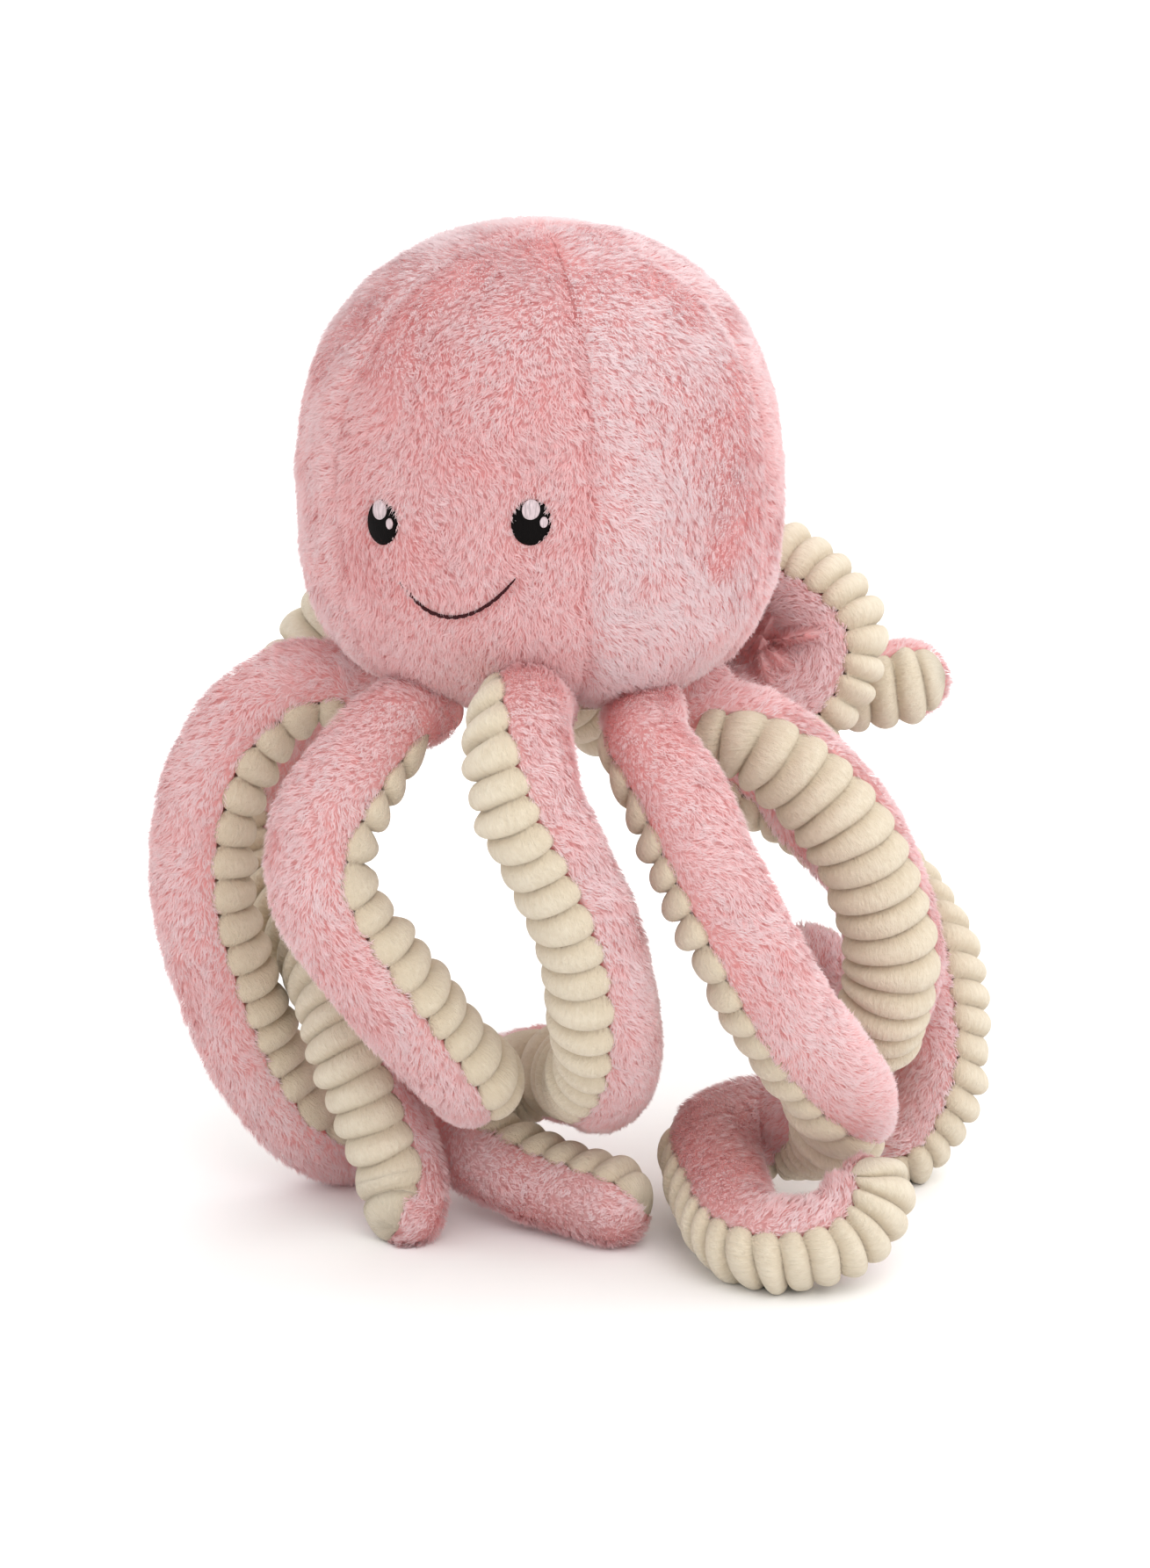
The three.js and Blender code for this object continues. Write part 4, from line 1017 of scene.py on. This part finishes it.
def on_face(azimuth, height, lift):
    """A place on the head's form, lifted off it, from degrees beside the face's middle and a height."""
    height = height + face_slope(azimuth)
    azimuth = azimuth + FACE_AZIMUTH
    tall, squareness = head_half(height > HEAD_WIDEST)
    share = np.abs(height - HEAD_WIDEST) / tall
    angle = np.where(height > HEAD_WIDEST, 1, -1) * np.arcsin(share ** (squareness / 2))
    return head_place(azimuth, angle, lift)


def add_pad(name, azimuth, size, offset, lifts, material):
    """A stitched oval on the face, closed: from the middle of its back out to its rim, then up over a
    dome of height x sqrt(1 - share^2)."""
    out = np.linspace(PAD_OPENING, 1, PAD_RINGS)
    share = np.concatenate([out, out[::-1]])[:, None]
    turn = np.linspace(0, 2 * math.pi, PAD_COLUMNS, endpoint=False)[None, :]
    sideways = offset[0] + size[0] / 2 * share * np.cos(turn)
    upwards = offset[1] + size[1] / 2 * share * np.sin(turn)
    lift = np.full(share.shape, lifts[0])
    lift[PAD_RINGS:] = lifts[1] + lifts[2] * np.sqrt(1 - share[PAD_RINGS:] ** 2)
    rings = on_face(azimuth + np.degrees(sideways / HEAD_RADIUS), EYE_LEVEL + upwards, lift + 0 * turn)
    pad = add_piece(name, rings, closed_rings(rings), material)
    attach(pad, "head")
    return pad


black_thread = thread_material("black thread", EYE_BLACK)
white_thread = thread_material("white thread", GLINT_WHITE)

for side, azimuth in (("left", -EYE_AZIMUTH), ("right", EYE_AZIMUTH)):
    eye = add_pad("stitched_eye_" + side, azimuth, (EYE_WIDTH, EYE_HEIGHT), (0, 0), EYE_LIFTS, black_thread)
    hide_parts("eye_" + side)
    glint = add_pad("highlight_" + side, azimuth, GLINT_SIZE, GLINT_PLACE, GLINT_LIFTS, white_thread)
    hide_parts("glint_" + side)
    spark = add_pad("side_highlight_" + side, azimuth, SPARK_SIZE, SPARK_PLACE, GLINT_LIFTS, white_thread)
    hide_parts("spark_" + side)

# Smile
#
# One line of dark stitching that hangs between the cheeks. Each stitch dips into the cloth at its ends.

STITCH_RADIUS = 0.0010
STITCH_SINK = 0.0008
STITCH_PITCH = 0.0042
STITCH_ROUNDING = 0.5
STITCH_THICKENING = 0.30
STITCH_RISE = 0.0007
THREAD_TWIST = 0.1
THREAD_TWIST_PITCH = 0.0011
# The line runs a little past its right end. It is thicker and higher there, and sinks in at its left.
ARC_ENDS = (-1, 1.1)
THINNEST = 0.60
RIGHT_THICKENING = 0.35
THICKER_FROM = 0.3
RIGHT_RISE = 0.0008
HIGHER_FROM = 0.4
LEFT_SINK = 0.0024
SUNK_FROM = 0.35
# Near its ends the line narrows by this share, by a high power of the way there.
END_NARROWING = 0.98
END_STEEPNESS = 8
LINE_ROWS = 270
LINE_COLUMNS = 14
SMILE_BROWN = (0.045, 0.012, 0.014, 1)

arc_share = np.linspace(*ARC_ENDS, LINE_ROWS)[:, None]
around = np.linspace(0, 2 * math.pi, LINE_COLUMNS, endpoint=False)[None, :]
run = np.radians(SMILE_HALF_ANGLE) * HEAD_RADIUS * arc_share
stitch = np.abs(np.sin(math.pi * run / STITCH_PITCH)) ** STITCH_ROUNDING
twist = 1 + THREAD_TWIST * np.cos(2 * math.pi * run / THREAD_TWIST_PITCH - around)
swollen = THINNEST + STITCH_THICKENING * stitch + RIGHT_THICKENING * smooth(arc_share, THICKER_FROM, 1)
pointed = np.sqrt(1 - END_NARROWING * (arc_share / ARC_ENDS[1]) ** END_STEEPNESS)
thick = STITCH_RADIUS * swollen * twist * pointed
level = SMILE_LEVEL - SMILE_DROP * (1 - arc_share**2) + thick * np.sin(around)
higher = RIGHT_RISE * smooth(arc_share, HIGHER_FROM, 1) + STITCH_RISE * stitch
sink = STITCH_SINK - higher + LEFT_SINK * smooth(-arc_share, SUNK_FROM, 1)
rings = on_face(SMILE_HALF_ANGLE * arc_share, level, thick * np.cos(around) - sink)
brown_thread = thread_material("brown thread", SMILE_BROWN)
smile = add_piece("stitched_smile", rings, closed_rings(rings), brown_thread)
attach(smile, "head")
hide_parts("smile")

# Stage
#
# A plain pale floor that runs past the frame, an even white studio, a soft lamp at the right and a softer
# one behind, and the camera at the photograph's angle.

CAMERA_AZIMUTH = 22
CAMERA_ELEVATION = 15
CAMERA_DISTANCE = 2.5
CAMERA_LENS = 117.5
AIM_LEVEL = 0.245
AIM_RIGHT = 0.0165
AIM_DOWN = 0.0324
FLOOR_REACH = 30.0
FLOOR_PALE = (0.86, 0.86, 0.86, 1)
FLOOR_WHITE = (1.0, 1.0, 1.0, 1)
WORLD_LIGHT = 0.94
STUDIO_WHITE = (1.0, 0.995, 0.99, 1)
# Each lamp's name, its strength, how many degrees of sky it fills and the way its light travels.
LAMPS = [("key", 1.0, 50, (-0.50, 0.48, -0.72)), ("back", 1.2, 90, (-0.30, -0.72, -0.63))]

floor_mesh = bpy.data.meshes.new("floor")
square = ((-1, -1), (1, -1), (1, 1), (-1, 1))
floor_mesh.from_pydata([(FLOOR_REACH * x, FLOOR_REACH * y, 0) for x, y in square], [], [(0, 1, 2, 3)])
floor = placed("floor", floor_mesh)
floor_material, nodes, links, shader = plain_material("floor", rough=1.0, specular=0.0)
rays = nodes.new("ShaderNodeLightPath")
seen = rays.outputs["Is Camera Ray"]
for other in ("Is Glossy Ray", "Is Transmission Ray"):
    either = nodes.new("ShaderNodeMath")
    either.operation = "MAXIMUM"
    links.new(seen, either.inputs[0])
    links.new(rays.outputs[other], either.inputs[1])
    seen = either.outputs[0]
tone = add_ramp(nodes, links, seen, ((0.0, FLOOR_PALE), (1.0, FLOOR_WHITE)))
links.new(tone, shader.inputs["Base Color"])
floor_mesh.materials.append(floor_material)

world = bpy.data.worlds.new("studio")
bpy.context.scene.world = world
world.use_nodes = True
backdrop = world.node_tree.nodes["Background"]
backdrop.inputs["Color"].default_value = STUDIO_WHITE
backdrop.inputs["Strength"].default_value = WORLD_LIGHT


def point(thing, direction):
    """Turns a lamp or the camera so that its own -Z runs along a direction, its Y upwards."""
    thing.rotation_mode = "QUATERNION"
    thing.rotation_quaternion = Vector(direction).to_track_quat("-Z", "Y")


for name, strength, spread, direction in LAMPS:
    lamp_data = bpy.data.lights.new(name, "SUN")
    lamp_data.energy = strength
    lamp_data.angle = math.radians(spread)
    point(placed(name, lamp_data), direction)

lift = math.radians(CAMERA_ELEVATION)
back = outward(CAMERA_AZIMUTH) * math.cos(lift) + (0, 0, math.sin(lift))
right = outward(CAMERA_AZIMUTH + 90)
above = np.cross(back, right)
subject = FOOT + (0, 0, AIM_LEVEL)
stand = subject + back * CAMERA_DISTANCE
aim = subject + right * AIM_RIGHT - above * AIM_DOWN
camera_data = bpy.data.cameras.new("camera")
camera_data.lens = CAMERA_LENS
camera_data.clip_start, camera_data.clip_end = 0.05, 100
camera = placed("camera", camera_data)
camera.location = stand
point(camera, aim - stand)
bpy.context.scene.camera = camera
bpy.context.scene.view_settings.view_transform = "Standard"
